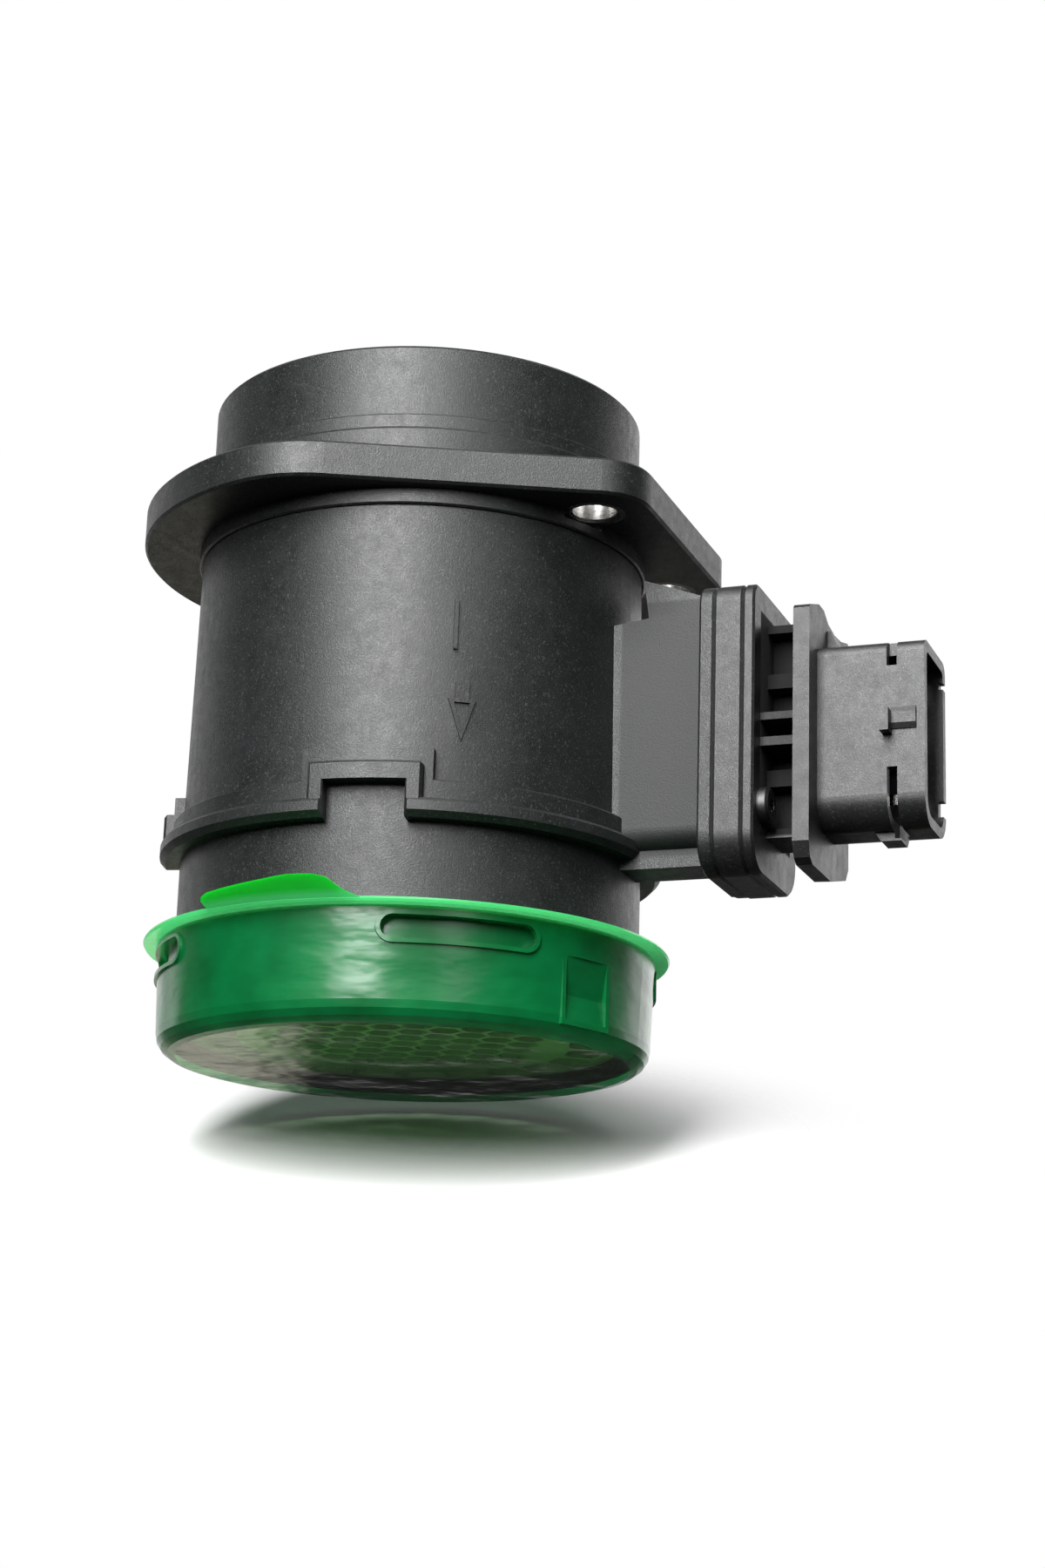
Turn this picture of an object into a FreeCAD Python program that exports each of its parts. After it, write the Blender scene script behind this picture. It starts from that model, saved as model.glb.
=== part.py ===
# Mass airflow sensor with its transport cap, all sizes in millimetres.
# The duct axis is Z, the connector points along +X and the cap stands on z = 0.
import FreeCAD
import Part
import Sketcher
import math
import os

ACROSS = {
    "xy": FreeCAD.Vector(0, 0, 1),
    "yz": FreeCAD.Vector(1, 0, 0),
    "xz": FreeCAD.Vector(0, 1, 0),
}

doc = FreeCAD.newDocument("airflow_sensor")
sheet = doc.addObject("Spreadsheet::Sheet", "sizes")
rows = [0]


class Size:
    """A length or angle that knows its value and how it hangs on the sheet."""

    def __init__(self, value, text):
        self.value = value
        self.text = text

    def __add__(self, other):
        other = plain(other)
        return Size(self.value + other.value, "(%s + %s)" % (self.text, other.text))

    def __radd__(self, other):
        return plain(other) + self

    def __sub__(self, other):
        other = plain(other)
        return Size(self.value - other.value, "(%s - %s)" % (self.text, other.text))

    def __rsub__(self, other):
        return plain(other) - self

    def __mul__(self, other):
        other = plain(other)
        return Size(self.value * other.value, "(%s * %s)" % (self.text, other.text))

    def __rmul__(self, other):
        return plain(other) * self

    def __truediv__(self, other):
        other = plain(other)
        return Size(self.value / other.value, "(%s / %s)" % (self.text, other.text))

    def __neg__(self):
        return Size(-self.value, "(0 - %s)" % self.text)


def plain(number):
    """Lets a bare number stand beside sheet sizes."""
    if isinstance(number, Size):
        return number
    return Size(float(number), repr(float(number)))


def sine(angle):
    return Size(math.sin(math.radians(angle.value)), "sin(%s * 1deg)" % angle.text)


def cosine(angle):
    return Size(math.cos(math.radians(angle.value)), "cos(%s * 1deg)" % angle.text)


def size(alias, value):
    """Writes one size into the sheet and hands it back."""
    rows[0] += 1
    sheet.set("A%d" % rows[0], alias)
    sheet.set("B%d" % rows[0], str(value))
    sheet.setAlias("B%d" % rows[0], alias)
    return Size(float(value), "sizes." + alias)


def bind(thing, path, amount):
    """Ties a property to the sheet."""
    amount = plain(amount)
    if "sizes." in amount.text:
        thing.setExpression(path, amount.text)


def place(thing, x, y, z, axis=(0, 0, 1), angle=0.0):
    x, y, z, angle = plain(x), plain(y), plain(z), plain(angle)
    turn = FreeCAD.Rotation(FreeCAD.Vector(*axis), angle.value)
    thing.Placement = FreeCAD.Placement(FreeCAD.Vector(x.value, y.value, z.value), turn)
    bind(thing, "Placement.Base.x", x)
    bind(thing, "Placement.Base.y", y)
    bind(thing, "Placement.Base.z", z)
    if "sizes." in angle.text:
        bind(thing, "Placement.Rotation.Angle", angle)
    return thing


def box(name, x0, x1, y0, y1, z0, z1):
    thing = doc.addObject("Part::Box", name)
    for path, low, high in (("Length", x0, x1), ("Width", y0, y1), ("Height", z0, z1)):
        span = plain(high) - plain(low)
        setattr(thing, path, span.value)
        bind(thing, path, span)
    return place(thing, x0, y0, z0)


def cross_bar(name, half_long, half_wide, z0, z1, angle):
    """A bar through the duct axis, turned by an angle about it."""
    thing = doc.addObject("Part::Box", name)
    for path, span in (("Length", half_long * 2), ("Width", half_wide * 2), ("Height", z1 - z0)):
        setattr(thing, path, plain(span).value)
        bind(thing, path, span)
    x = -half_long * cosine(angle) + half_wide * sine(angle)
    y = -half_long * sine(angle) - half_wide * cosine(angle)
    return place(thing, x, y, z0, (0, 0, 1), angle)


def spoke(name, reach, half_wide, z0, z1, angle):
    """A bar that starts on the duct axis and points out at an angle."""
    thing = doc.addObject("Part::Box", name)
    for path, span in (("Length", reach), ("Width", half_wide * 2), ("Height", z1 - z0)):
        setattr(thing, path, plain(span).value)
        bind(thing, path, span)
    return place(thing, half_wide * sine(angle), -half_wide * cosine(angle), z0, (0, 0, 1), angle)


def rod_z(name, radius, z0, z1, x=0.0, y=0.0):
    thing = doc.addObject("Part::Cylinder", name)
    thing.Radius = plain(radius).value
    bind(thing, "Radius", radius)
    span = plain(z1) - plain(z0)
    thing.Height = span.value
    bind(thing, "Height", span)
    return place(thing, x, y, z0)


def rod_x(name, radius, x0, x1, y, z):
    thing = doc.addObject("Part::Cylinder", name)
    thing.Radius = plain(radius).value
    bind(thing, "Radius", radius)
    span = plain(x1) - plain(x0)
    thing.Height = span.value
    bind(thing, "Height", span)
    return place(thing, x0, y, z, (0, 1, 0), 90.0)


def outline(name, plane, points, depth=0.0):
    """A closed sketch of straight lines, every corner tied to the sheet."""
    sketch = doc.addObject("Sketcher::SketchObject", name)
    corners = [(plain(a), plain(b)) for a, b in points]
    vectors = [FreeCAD.Vector(a.value, b.value, 0) for a, b in corners]
    count = len(corners)
    for i in range(count):
        sketch.addGeometry(Part.LineSegment(vectors[i], vectors[(i + 1) % count]), False)
    for i in range(count):
        sketch.addConstraint(Sketcher.Constraint("Coincident", i, 2, (i + 1) % count, 1))
    for i, (a, b) in enumerate(corners):
        for kind, axis, amount in (("DistanceX", -2, a), ("DistanceY", -1, b)):
            if abs(amount.value) < 1e-9:
                sketch.addConstraint(Sketcher.Constraint("PointOnObject", i, 1, axis))
                continue
            index = sketch.addConstraint(Sketcher.Constraint(kind, -1, 1, i, 1, amount.value))
            if "sizes." in amount.text:
                sketch.setExpression("Constraints[%d]" % index, amount.text)
    if plane == "xy":
        place(sketch, 0.0, 0.0, depth)
    elif plane == "yz":
        place(sketch, depth, 0.0, 0.0, (1, 1, 1), 120.0)
    else:
        place(sketch, 0.0, depth, 0.0, (1, 0, 0), 90.0)
    return sketch


def prism(name, plane, points, low, high):
    """A straight-sided block drawn on one plane and run out between two depths."""
    thing = doc.addObject("Part::Extrusion", name)
    thing.Base = outline(name + "_outline", plane, points, low)
    thing.DirMode = "Custom"
    thing.Dir = ACROSS[plane]
    span = plain(high) - plain(low)
    thing.LengthFwd = span.value
    bind(thing, "LengthFwd", span)
    thing.Solid = True
    return thing


def turned(name, points):
    """A round block made by turning a half outline about the duct axis."""
    thing = doc.addObject("Part::Revolution", name)
    thing.Source = outline(name + "_outline", "xz", points)
    thing.Axis = FreeCAD.Vector(0, 0, 1)
    thing.Base = FreeCAD.Vector(0, 0, 0)
    thing.Angle = 360.0
    thing.Solid = True
    return thing


def fuse(name, things):
    thing = doc.addObject("Part::MultiFuse", name)
    thing.Shapes = things
    thing.Refine = True
    return thing


def cut(name, base, tool):
    thing = doc.addObject("Part::Cut", name)
    thing.Base = base
    thing.Tool = tool
    thing.Refine = True
    return thing


def common(name, first, second):
    thing = doc.addObject("Part::Common", name)
    thing.Base = first
    thing.Tool = second
    thing.Refine = True
    return thing


def rounded(name, base, radius, wanted):
    """Rounds the edges whose middle point and direction pass the test."""
    doc.recompute()
    picks = []
    for number, edge in enumerate(base.Shape.Edges, 1):
        middle = edge.valueAt((edge.FirstParameter + edge.LastParameter) / 2)
        start = edge.valueAt(edge.FirstParameter)
        along = edge.valueAt(edge.LastParameter) - start
        if wanted(middle, along, edge):
            picks.append((number, plain(radius).value, plain(radius).value))
    thing = doc.addObject("Part::Fillet", name)
    thing.Base = base
    thing.Edges = picks
    return thing


def bevelled(name, base, width, wanted):
    """Bevels the edges that pass the test."""
    doc.recompute()
    picks = []
    for number, edge in enumerate(base.Shape.Edges, 1):
        if wanted(edge.valueAt(edge.FirstParameter), edge):
            picks.append((number, plain(width).value, plain(width).value))
    thing = doc.addObject("Part::Chamfer", name)
    thing.Base = base
    thing.Edges = picks
    return thing


def softened_bar(name, x0, x1, y0, y1, z0, z1, low_radius, high_radius):
    """A bar along X with its lower and its upper long edges rounded."""
    bar = box(name + "_block", x0, x1, y0, y1, z0, z1)
    level = (plain(z0).value + plain(z1).value) / 2

    def lower(middle, along, edge):
        return abs(along.x) > 1e-6 and abs(along.y) + abs(along.z) < 1e-6 and middle.z < level

    def upper(middle, along, edge):
        return abs(along.x) > 1e-6 and abs(along.y) + abs(along.z) < 1e-6 and middle.z > level

    half = rounded(name + "_low", bar, low_radius, lower)
    return rounded(name, half, high_radius, upper)


def faced_plate(name, x0, x1, half, z0, z1, low_radius, high_radius, bevel):
    """An upright plate across the connector axis, its two faces edged with a small bevel."""
    plate = softened_bar(name + "_round", x0, x1, -half, half, z0, z1, low_radius, high_radius)
    faces = (plain(x0).value, plain(x1).value)

    def on_a_face(start, edge):
        end = edge.valueAt(edge.LastParameter)
        return abs(start.x - end.x) < 1e-6 and min(abs(start.x - face) for face in faces) < 1e-6

    return bevelled(name, plate, bevel, on_a_face)


def about_axis(points, angle):
    """Points of a plan outline turned about the duct axis."""
    return [(a * cosine(angle) - b * sine(angle), a * sine(angle) + b * cosine(angle)) for a, b in points]


def arc_steps(middle_a, middle_b, radius, start, end, count):
    """Corners along a quarter round, as a turned profile needs them."""
    steps = []
    for k in range(count + 1):
        spread = math.radians(start + (end - start) * k / count)
        across, rise = round(math.cos(spread), 5), round(math.sin(spread), 5)
        steps.append((middle_a + radius * across, middle_b + radius * rise))
    return steps


def finish(thing, node):
    thing.Label = node
    nodes.append(thing)
    return thing


nodes = []

# Duct and its steps, from the transport cap upwards
cap_floor = size("cap_floor", 1.2)
duct_bore = size("duct_bore", 31.0)
inlet_radius = size("inlet_radius", 35.0)
inlet_bore = size("inlet_bore", 32.4)
inlet_chamfer = size("inlet_chamfer", 1.0)
grille_low = size("grille_low", 3.4)
grille_deep = size("grille_deep", 6.0)
rim_low = size("rim_low", 28.9)
rim_radius = size("rim_radius", 38.1)
rim_tall = size("rim_tall", 2.8)
ledge_radius = size("ledge_radius", 36.3)
ledge_tall = size("ledge_tall", 3.1)
body_low_radius = size("body_low_radius", 34.8)
body_top_radius = size("body_top_radius", 34.3)
collar_low = size("collar_low", 76.5)
collar_radius = size("collar_radius", 34.9)
flange_low = size("flange_low", 78.9)
flange_thick = size("flange_thick", 5.6)
spigot_foot_radius = size("spigot_foot_radius", 35.5)
spigot_foot_tall = size("spigot_foot_tall", 3.9)
spigot_step_radius = size("spigot_step_radius", 34.3)
spigot_step_rise = size("spigot_step_rise", 2.4)
spigot_radius = size("spigot_radius", 33.5)
spigot_top = size("spigot_top", 102.0)
soft_edge = size("soft_edge", 0.5)
rim_bevel = size("rim_bevel", 0.9)

grille_top = grille_low + grille_deep
rim_top = rim_low + rim_tall
ledge_top = rim_top + ledge_tall
flange_top = flange_low + flange_thick
foot_top = flange_top + spigot_foot_tall
step_top = foot_top + spigot_step_rise

duct = turned("duct_skin", [
    (0, cap_floor),
    (inlet_radius - inlet_chamfer, cap_floor),
    (inlet_radius, cap_floor + inlet_chamfer),
    (inlet_radius, rim_low),
    (rim_radius - rim_bevel, rim_low),
    (rim_radius, rim_low + rim_bevel),
    (rim_radius, rim_top - soft_edge),
    (rim_radius - soft_edge, rim_top),
    (ledge_radius, rim_top),
    (ledge_radius, ledge_top - soft_edge / 2),
    (ledge_radius - soft_edge / 2, ledge_top),
    (body_low_radius, ledge_top),
    (body_top_radius, collar_low),
    (collar_radius - soft_edge / 2, collar_low),
    (collar_radius, collar_low + soft_edge / 2),
    (collar_radius, flange_top),
    (spigot_foot_radius, flange_top),
    (spigot_foot_radius, foot_top - soft_edge),
    (spigot_foot_radius - soft_edge, foot_top),
    (spigot_step_radius, foot_top),
    (spigot_step_radius, step_top - soft_edge / 2),
    (spigot_step_radius - soft_edge / 2, step_top),
    (spigot_radius, step_top),
    (spigot_radius, spigot_top - soft_edge),
    (spigot_radius - soft_edge, spigot_top),
    (0, spigot_top),
])

# Key notches: the rim steps up and over three notches that index the air box
key_angle = size("key_angle", 101.7)
key_count = 3
notch_half = size("notch_half", 5.9)
notch_top = size("notch_top", 34.3)
key_rib_wide = size("key_rib_wide", 2.35)
key_rib_tall = size("key_rib_tall", 2.7)
key_ledge_wide = size("key_ledge_wide", 1.2)
key_ledge_tall = size("key_ledge_tall", 2.3)
key_reach = size("key_reach", 45.0)
key_bevel = size("key_bevel", 0.4)
notch_flare = size("notch_flare", 1.0)
notch_low = rim_low - 2
rim_bevel_top = rim_low + rim_bevel
key_rib_half = notch_half + key_rib_wide
key_rib_top = notch_top + key_rib_tall
key_ledge_half = key_rib_half + key_ledge_wide
key_ledge_top = key_rib_top + key_ledge_tall

ledge_bars = []
rib_bars = []
notch_bars = []
for i in range(key_count):
    turn = key_angle + 90.0 * i
    ledge_bars.append(spoke("key_ledge_bar_%d" % i, key_reach, key_ledge_half, rim_top, key_ledge_top, turn))
    rib_bars.append(spoke("key_rib_bar_%d" % i, key_reach, key_rib_half, rim_bevel_top, key_rib_top, turn))
    notch_bars.append(spoke("key_notch_bar_%d" % i, key_reach, notch_half, notch_low, notch_top, turn))
    notch_bars.append(prism("key_notch_mouth_%d" % i, "xy", about_axis([
        (rim_radius - notch_flare, -notch_half),
        (rim_radius + notch_flare, -notch_half - notch_flare * 2),
        (rim_radius + notch_flare, notch_half + notch_flare * 2),
        (rim_radius - notch_flare, notch_half),
    ], turn), notch_low, notch_top))
key_ledges = common(
    "key_ledges",
    fuse("key_ledge_cross", ledge_bars),
    rod_z("key_ledge_round", ledge_radius, rim_low, key_ledge_top),
)
key_rib_face = rim_radius - soft_edge / 2


def on_the_rib_face(start, edge):
    end = edge.valueAt(edge.LastParameter)
    nearer = min(math.hypot(start.x, start.y), math.hypot(end.x, end.y))
    return nearer > key_rib_face.value - 0.001 and (start.z + end.z) / 2 > rim_top.value


key_ribs = bevelled("key_ribs", common(
    "key_rib_blocks",
    fuse("key_rib_cross", rib_bars),
    rod_z("key_rib_round", key_rib_face, rim_low, key_rib_top),
), key_bevel, on_the_rib_face)
key_notches = cut(
    "key_notches",
    fuse("key_notch_cross", notch_bars),
    rod_z("key_notch_core", inlet_radius, rim_low - 3, notch_top + 1),
)

# Flange: a disc cut back by two slanted edges that run into two screw ears
flange_radius = size("flange_radius", 43.5)
ear_across = size("ear_across", 33.6)
near_ear_aside = size("near_ear_aside", 15.6)
far_ear_aside = size("far_ear_aside", 20.6)
ear_radius = size("ear_radius", 8.7)
ear_slant = size("ear_slant", 25.3)
slant_run = size("slant_run", 100.0)
flange_corner = size("flange_corner", 18.0)
nose_run = size("nose_run", 14.0)
flange_bevel = size("flange_bevel", 0.4)
ear_spots = [("near", -near_ear_aside), ("far", far_ear_aside)]
touch_x = ear_across + ear_radius * sine(ear_slant)
near_touch = near_ear_aside + ear_radius * cosine(ear_slant)
far_touch = far_ear_aside + ear_radius * cosine(ear_slant)
back_x = touch_x - slant_run * cosine(ear_slant)
slant_rise = slant_run * sine(ear_slant)
nose_x = touch_x - nose_run * cosine(ear_slant)
nose_rise = nose_run * sine(ear_slant)
flange_block = common(
    "flange_block",
    rod_z("flange_round", flange_radius, flange_low, flange_top),
    prism("flange_slants", "xy", [
        (touch_x, -near_touch),
        (touch_x, far_touch),
        (back_x, far_touch + slant_rise),
        (back_x, -near_touch - slant_rise),
    ], flange_low, flange_top),
)
flange_disc = rounded("flange_disc", flange_block, flange_corner, lambda middle, along, edge: (
    abs(along.z) > 1 and abs(middle.y) > flange_radius.value - 6 and middle.x < ear_across.value / 2))
flange_nose = prism("flange_nose", "xy", [
    (nose_x, -near_touch - nose_rise),
    (touch_x, -near_touch),
    (ear_across + ear_radius, -near_ear_aside),
    (ear_across + ear_radius, far_ear_aside),
    (touch_x, far_touch),
    (nose_x, far_touch + nose_rise),
], flange_low, flange_top)
ears = [rod_z("ear_" + word, ear_radius, flange_low, flange_top, ear_across, aside)
        for word, aside in ear_spots]
flange = bevelled("flange", fuse("flange_whole", [flange_disc, flange_nose] + ears), flange_bevel,
                  lambda start, edge: abs(edge.tangentAt(edge.FirstParameter).z) < 0.01)

# Neck that takes the plug-in sensor, with its face plate
neck_half = size("neck_half", 6.2)
neck_low = size("neck_low", 29.9)
neck_top = size("neck_top", 66.5)
neck_fall = size("neck_fall", 3.0)
neck_root = size("neck_root", 26.0)
neck_round = size("neck_round", 3.0)
plate_start = size("plate_start", 48.9)
plate_thick = size("plate_thick", 2.3)
plate_half = size("plate_half", 12.1)
plate_low = size("plate_low", 24.7)
plate_top = size("plate_top", 67.8)
plate_low_round = size("plate_low_round", 5.6)
plate_top_round = size("plate_top_round", 3.0)
plate_bevel = size("plate_bevel", 0.35)
web_half = size("web_half", 5.2)
web_root = size("web_root", 38.2)
web_lean = size("web_lean", 1.1)
web_root_top = size("web_root_top", 71.6)
web_end_drop = size("web_end_drop", 0.2)
sole_half = size("sole_half", 4.0)
sole_low = size("sole_low", 27.3)
sole_root = size("sole_root", 33.4)
slit_start = size("slit_start", 5.6)
slit_tall = size("slit_tall", 0.6)
joint_face = plate_start + plate_thick
neck_end = plate_start + 0.5

neck = rounded("neck", prism("neck_block", "xz", [
    (neck_root, neck_low),
    (neck_end, neck_low),
    (neck_end, neck_top),
    (neck_root, neck_top - neck_fall),
], -neck_half, neck_half), neck_round, lambda middle, along, edge: (
    abs(along.x) > 1 and abs(middle.y) > 1 and middle.z < neck_low.value + 1))
face_plate = faced_plate("face_plate", plate_start, joint_face, plate_half, plate_low, plate_top,
                         plate_low_round, plate_top_round, plate_bevel)
web = prism("neck_web", "xz", [
    (web_root + web_lean, neck_top - neck_fall),
    (neck_end, neck_top - neck_fall),
    (neck_end, plate_top - web_end_drop),
    (web_root, web_root_top),
], -web_half, web_half)
sole = box("neck_sole", sole_root, neck_end, -sole_half, sole_half, sole_low, neck_low + 1)
slit = box("face_plate_slit", plate_start - 1, joint_face + 1, slit_start, plate_half + 1,
           plate_low - 1, plate_low + slit_tall)

# Flow arrow, a plain outline standing proud of the wall
arrow_angle = size("arrow_angle", -56.9)
tail_angle = size("tail_angle", -59.0)
arrow_proud = size("arrow_proud", 0.35)
arrow_line = size("arrow_line", 0.55)
arrow_tip = size("arrow_tip", 41.1)
arrow_head_tall = size("arrow_head_tall", 6.2)
arrow_top = size("arrow_top", 49.8)
arrow_head_half = size("arrow_head_half", 2.0)
arrow_stem_half = size("arrow_stem_half", 1.0)
tail_low = size("tail_low", 54.7)
tail_top = size("tail_top", 62.1)
arrow_neck = arrow_tip + arrow_head_tall


def side_prism(name, points, angle, inner, outer):
    """A block drawn on the wall plane that faces out at an angle about Z."""
    block = prism(name, "yz", points, inner, outer)
    sketch = block.Base
    face_turn = FreeCAD.Rotation(FreeCAD.Vector(0, 0, 1), angle.value)
    wall_turn = FreeCAD.Rotation(FreeCAD.Vector(1, 1, 1), 120)
    away = FreeCAD.Vector(cosine(angle).value, sine(angle).value, 0)
    sketch.setExpression("Placement.Base.x", (plain(inner) * cosine(angle)).text)
    sketch.setExpression("Placement.Base.y", (plain(inner) * sine(angle)).text)
    sketch.Placement = FreeCAD.Placement(away * plain(inner).value, face_turn.multiply(wall_turn))
    block.Dir = away
    return block


arrow_outer = side_prism("arrow_outer", [
    (0, arrow_tip),
    (arrow_head_half, arrow_neck),
    (arrow_stem_half, arrow_neck),
    (arrow_stem_half, arrow_top),
    (-arrow_stem_half, arrow_top),
    (-arrow_stem_half, arrow_neck),
    (-arrow_head_half, arrow_neck),
], arrow_angle, duct_bore + 1.5, rim_radius + 1)
arrow_inner = side_prism("arrow_inner", [
    (0, arrow_tip + arrow_line * 2.7),
    (arrow_head_half - arrow_line * 1.5, arrow_neck - arrow_line),
    (-arrow_head_half + arrow_line * 1.5, arrow_neck - arrow_line),
], arrow_angle, duct_bore + 1, rim_radius + 2)
arrow_tail = side_prism("arrow_tail", [
    (-arrow_line / 2, tail_low),
    (arrow_line / 2, tail_low),
    (arrow_line / 2, tail_top),
    (-arrow_line / 2, tail_top),
], tail_angle, duct_bore + 1.5, rim_radius + 1)
arrow = common(
    "flow_arrow",
    fuse("arrow_blocks", [cut("arrow_ring", arrow_outer, arrow_inner), arrow_tail]),
    rod_z("arrow_round", body_low_radius + arrow_proud - 0.1, arrow_tip - 1, tail_top + 1),
)

# Plug-in sensor: plug, seal groove, blade in the airflow
plug_half = size("plug_half", 4.85)
plug_low = size("plug_low", 31.6)
plug_top = size("plug_top", 63.0)
plug_tip = size("plug_tip", 41.0)
plug_play = size("plug_play", 0.15)
plug_round = size("plug_round", 1.4)
pocket_start = size("pocket_start", 24.0)
seal_start = size("seal_start", 43.6)
seal_wide = size("seal_wide", 2.4)
seal_slack = size("seal_slack", 0.3)
groove_deep = size("groove_deep", 1.1)
groove_round = size("groove_round", 0.8)
frame_thick = size("frame_thick", 4.3)
lid_plate_thick = size("lid_plate_thick", 1.8)
frame_face = joint_face + frame_thick
flange_face = frame_face + lid_plate_thick

pocket_half = plug_half + plug_play
pocket_low = plug_low - plug_play
pocket_top = plug_top + plug_play
pocket_round = plug_round + plug_play / 2
pocket = softened_bar("pocket", pocket_start, joint_face + 1, -pocket_half, pocket_half,
                      pocket_low, pocket_top, pocket_round, pocket_round)

# Screws that hold the plug-in sensor, one low on the near side, one high on the far side
screw_aside = size("screw_aside", 7.6)
screw_low = size("screw_low", 34.7)
screw_high = size("screw_high", 58.0)
screw_shank = size("screw_shank", 1.25)
screw_skin = size("screw_skin", 0.4)
screw_play = size("screw_play", 0.25)
screw_head_radius = size("screw_head_radius", 2.7)
screw_head_tall = size("screw_head_tall", 1.6)
drive_radius = size("drive_radius", 1.1)
drive_deep = size("drive_deep", 0.9)
screw_spots = [(-screw_aside, screw_low), (screw_aside, screw_high)]
screw_tip = plate_start + screw_skin

bush_radius = size("bush_radius", 4.6)
bush_bore = size("bush_bore", 3.3)
bush_lip = size("bush_lip", 0.4)

bore = turned("bore", [
    (0, cap_floor - 1),
    (inlet_bore, cap_floor - 1),
    (inlet_bore, grille_top),
    (duct_bore, grille_top),
    (duct_bore, spigot_top - 1),
    (duct_bore + 1, spigot_top + 0.001),
    (duct_bore + 1, spigot_top + 1),
    (0, spigot_top + 1),
])
housing_cuts = [bore, pocket, key_notches, slit]
for i, (aside, level) in enumerate(screw_spots):
    housing_cuts.append(rod_x("pilot_hole_%d" % i, screw_shank, screw_tip, joint_face + 1, aside, level))
for word, aside in ear_spots:
    housing_cuts.append(rod_z("bush_hole_" + word, bush_radius, flange_low - 1, flange_top + 1,
                              ear_across, aside))
housing_solid = fuse("housing_solid", [duct, key_ledges, key_ribs, flange, neck, sole, face_plate,
                                       web, arrow])
finish(cut("tube_housing", housing_solid, fuse("housing_cuts", housing_cuts)), "tube_housing")

# Flange bushes, rolled steel sleeves in the two ears
def bush_mouth(start, edge):
    return abs(edge.Length - 2 * math.pi * bush_bore.value) < 0.1


for word, aside in ear_spots:
    sleeve = rod_z("bush_body_" + word, bush_radius, flange_low, flange_top, ear_across, aside)
    hole = rod_z("bush_drill_" + word, bush_bore, flange_low - 1, flange_top + 1, ear_across, aside)
    raw = cut("bush_raw_" + word, sleeve, hole)
    finish(bevelled("flange_bush_" + word, raw, bush_lip, bush_mouth), "flange_bush_" + word)

# Inlet grille: a ring of rounded windows round a honeycomb
window_count = 24
window_outer = size("window_outer", 30.4)
window_inner = size("window_inner", 24.9)
window_rib = size("window_rib", 1.1)
window_round = size("window_round", 0.9)
comb_radius = size("comb_radius", 23.9)
cell_pitch = size("cell_pitch", 5.0)
cell_wall = size("cell_wall", 0.8)

grille_body = doc.addObject("Part::Feature", "inlet_grille")
ring_solid = Part.makeCylinder(inlet_bore.value, grille_deep.value)
window_half = math.pi / window_count
inner_shoulder = (window_inner + window_round).value
outer_shoulder = (window_outer - window_round).value
window_corners = [
    (window_inner.value, -1), (inner_shoulder, -1), (outer_shoulder, -1), (window_outer.value, -1),
    (window_outer.value, 1), (outer_shoulder, 1), (inner_shoulder, 1), (window_inner.value, 1),
]
tools = []
for i in range(window_count):
    middle = 2 * math.pi * i / window_count
    corners = []
    for reach, side in window_corners:
        across = side * (reach * math.tan(window_half) - window_rib.value / 2)
        if reach in (window_inner.value, window_outer.value):
            across -= side * window_round.value
        corners.append(FreeCAD.Vector(reach * math.cos(middle) - across * math.sin(middle),
                                      reach * math.sin(middle) + across * math.cos(middle), -1))
    face = Part.Face(Part.makePolygon(corners + corners[:1]))
    tools.append(face.extrude(FreeCAD.Vector(0, 0, grille_deep.value + 2)))
cell_radius = (cell_pitch.value - cell_wall.value) / math.sqrt(3)
steps = int(comb_radius.value / cell_pitch.value) + 2
for i in range(-steps, steps + 1):
    for j in range(-steps, steps + 1):
        x = cell_pitch.value * (i + j / 2)
        y = cell_pitch.value * j * math.sqrt(3) / 2
        if math.hypot(x, y) + cell_radius > comb_radius.value:
            continue
        corners = []
        for k in range(6):
            spread = math.radians(60 * k + 30)
            corners.append(FreeCAD.Vector(x + cell_radius * math.cos(spread),
                                          y + cell_radius * math.sin(spread), -1))
        face = Part.Face(Part.makePolygon(corners + corners[:1]))
        tools.append(face.extrude(FreeCAD.Vector(0, 0, grille_deep.value + 2)))
grille_body.Shape = ring_solid.cut(tools)
place(grille_body, 0.0, 0.0, grille_low)
finish(grille_body, "inlet_grille")

# Adapter frame between the housing and the plug-in sensor
frame_block = faced_plate("frame_block", joint_face, frame_face, plate_half, plate_low, plate_top,
                          plate_low_round, plate_top_round, plate_bevel)
frame_cuts = [softened_bar("frame_window", joint_face - 1, frame_face + 1, -pocket_half, pocket_half,
                           pocket_low, pocket_top, pocket_round, pocket_round)]
for i, (aside, level) in enumerate(screw_spots):
    frame_cuts.append(rod_x("frame_hole_%d" % i, screw_shank + screw_play, joint_face - 1, frame_face + 1,
                            aside, level))
finish(cut("adapter_frame", frame_block, fuse("frame_cuts", frame_cuts)), "adapter_frame")

# Sensor carrier: one moulding from the blade in the duct to the connector shroud
blade_tip = size("blade_tip", -7.0)
blade_half = size("blade_half", 4.3)
blade_low = size("blade_low", 33.4)
blade_top = size("blade_top", 61.2)
blade_round = size("blade_round", 1.6)
tray_floor = size("tray_floor", 1.6)
tray_start = size("tray_start", 14.0)
tray_end = size("tray_end", 38.5)
tray_wall = size("tray_wall", 1.6)
lid_thick = size("lid_thick", 1.2)
lid_seat = size("lid_seat", 0.8)

lid_plate = faced_plate("lid_plate", frame_face, flange_face, plate_half, plate_low, plate_top,
                        plate_low_round, plate_top_round, plate_bevel)
plug = softened_bar("plug", plug_tip, frame_face + 0.5, -plug_half, plug_half, plug_low, plug_top,
                    plug_round, plug_round)
blade = softened_bar("blade", blade_tip, plug_tip + 0.5, -blade_half, blade_half, blade_low, blade_top,
                     blade_round, blade_round)

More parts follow.
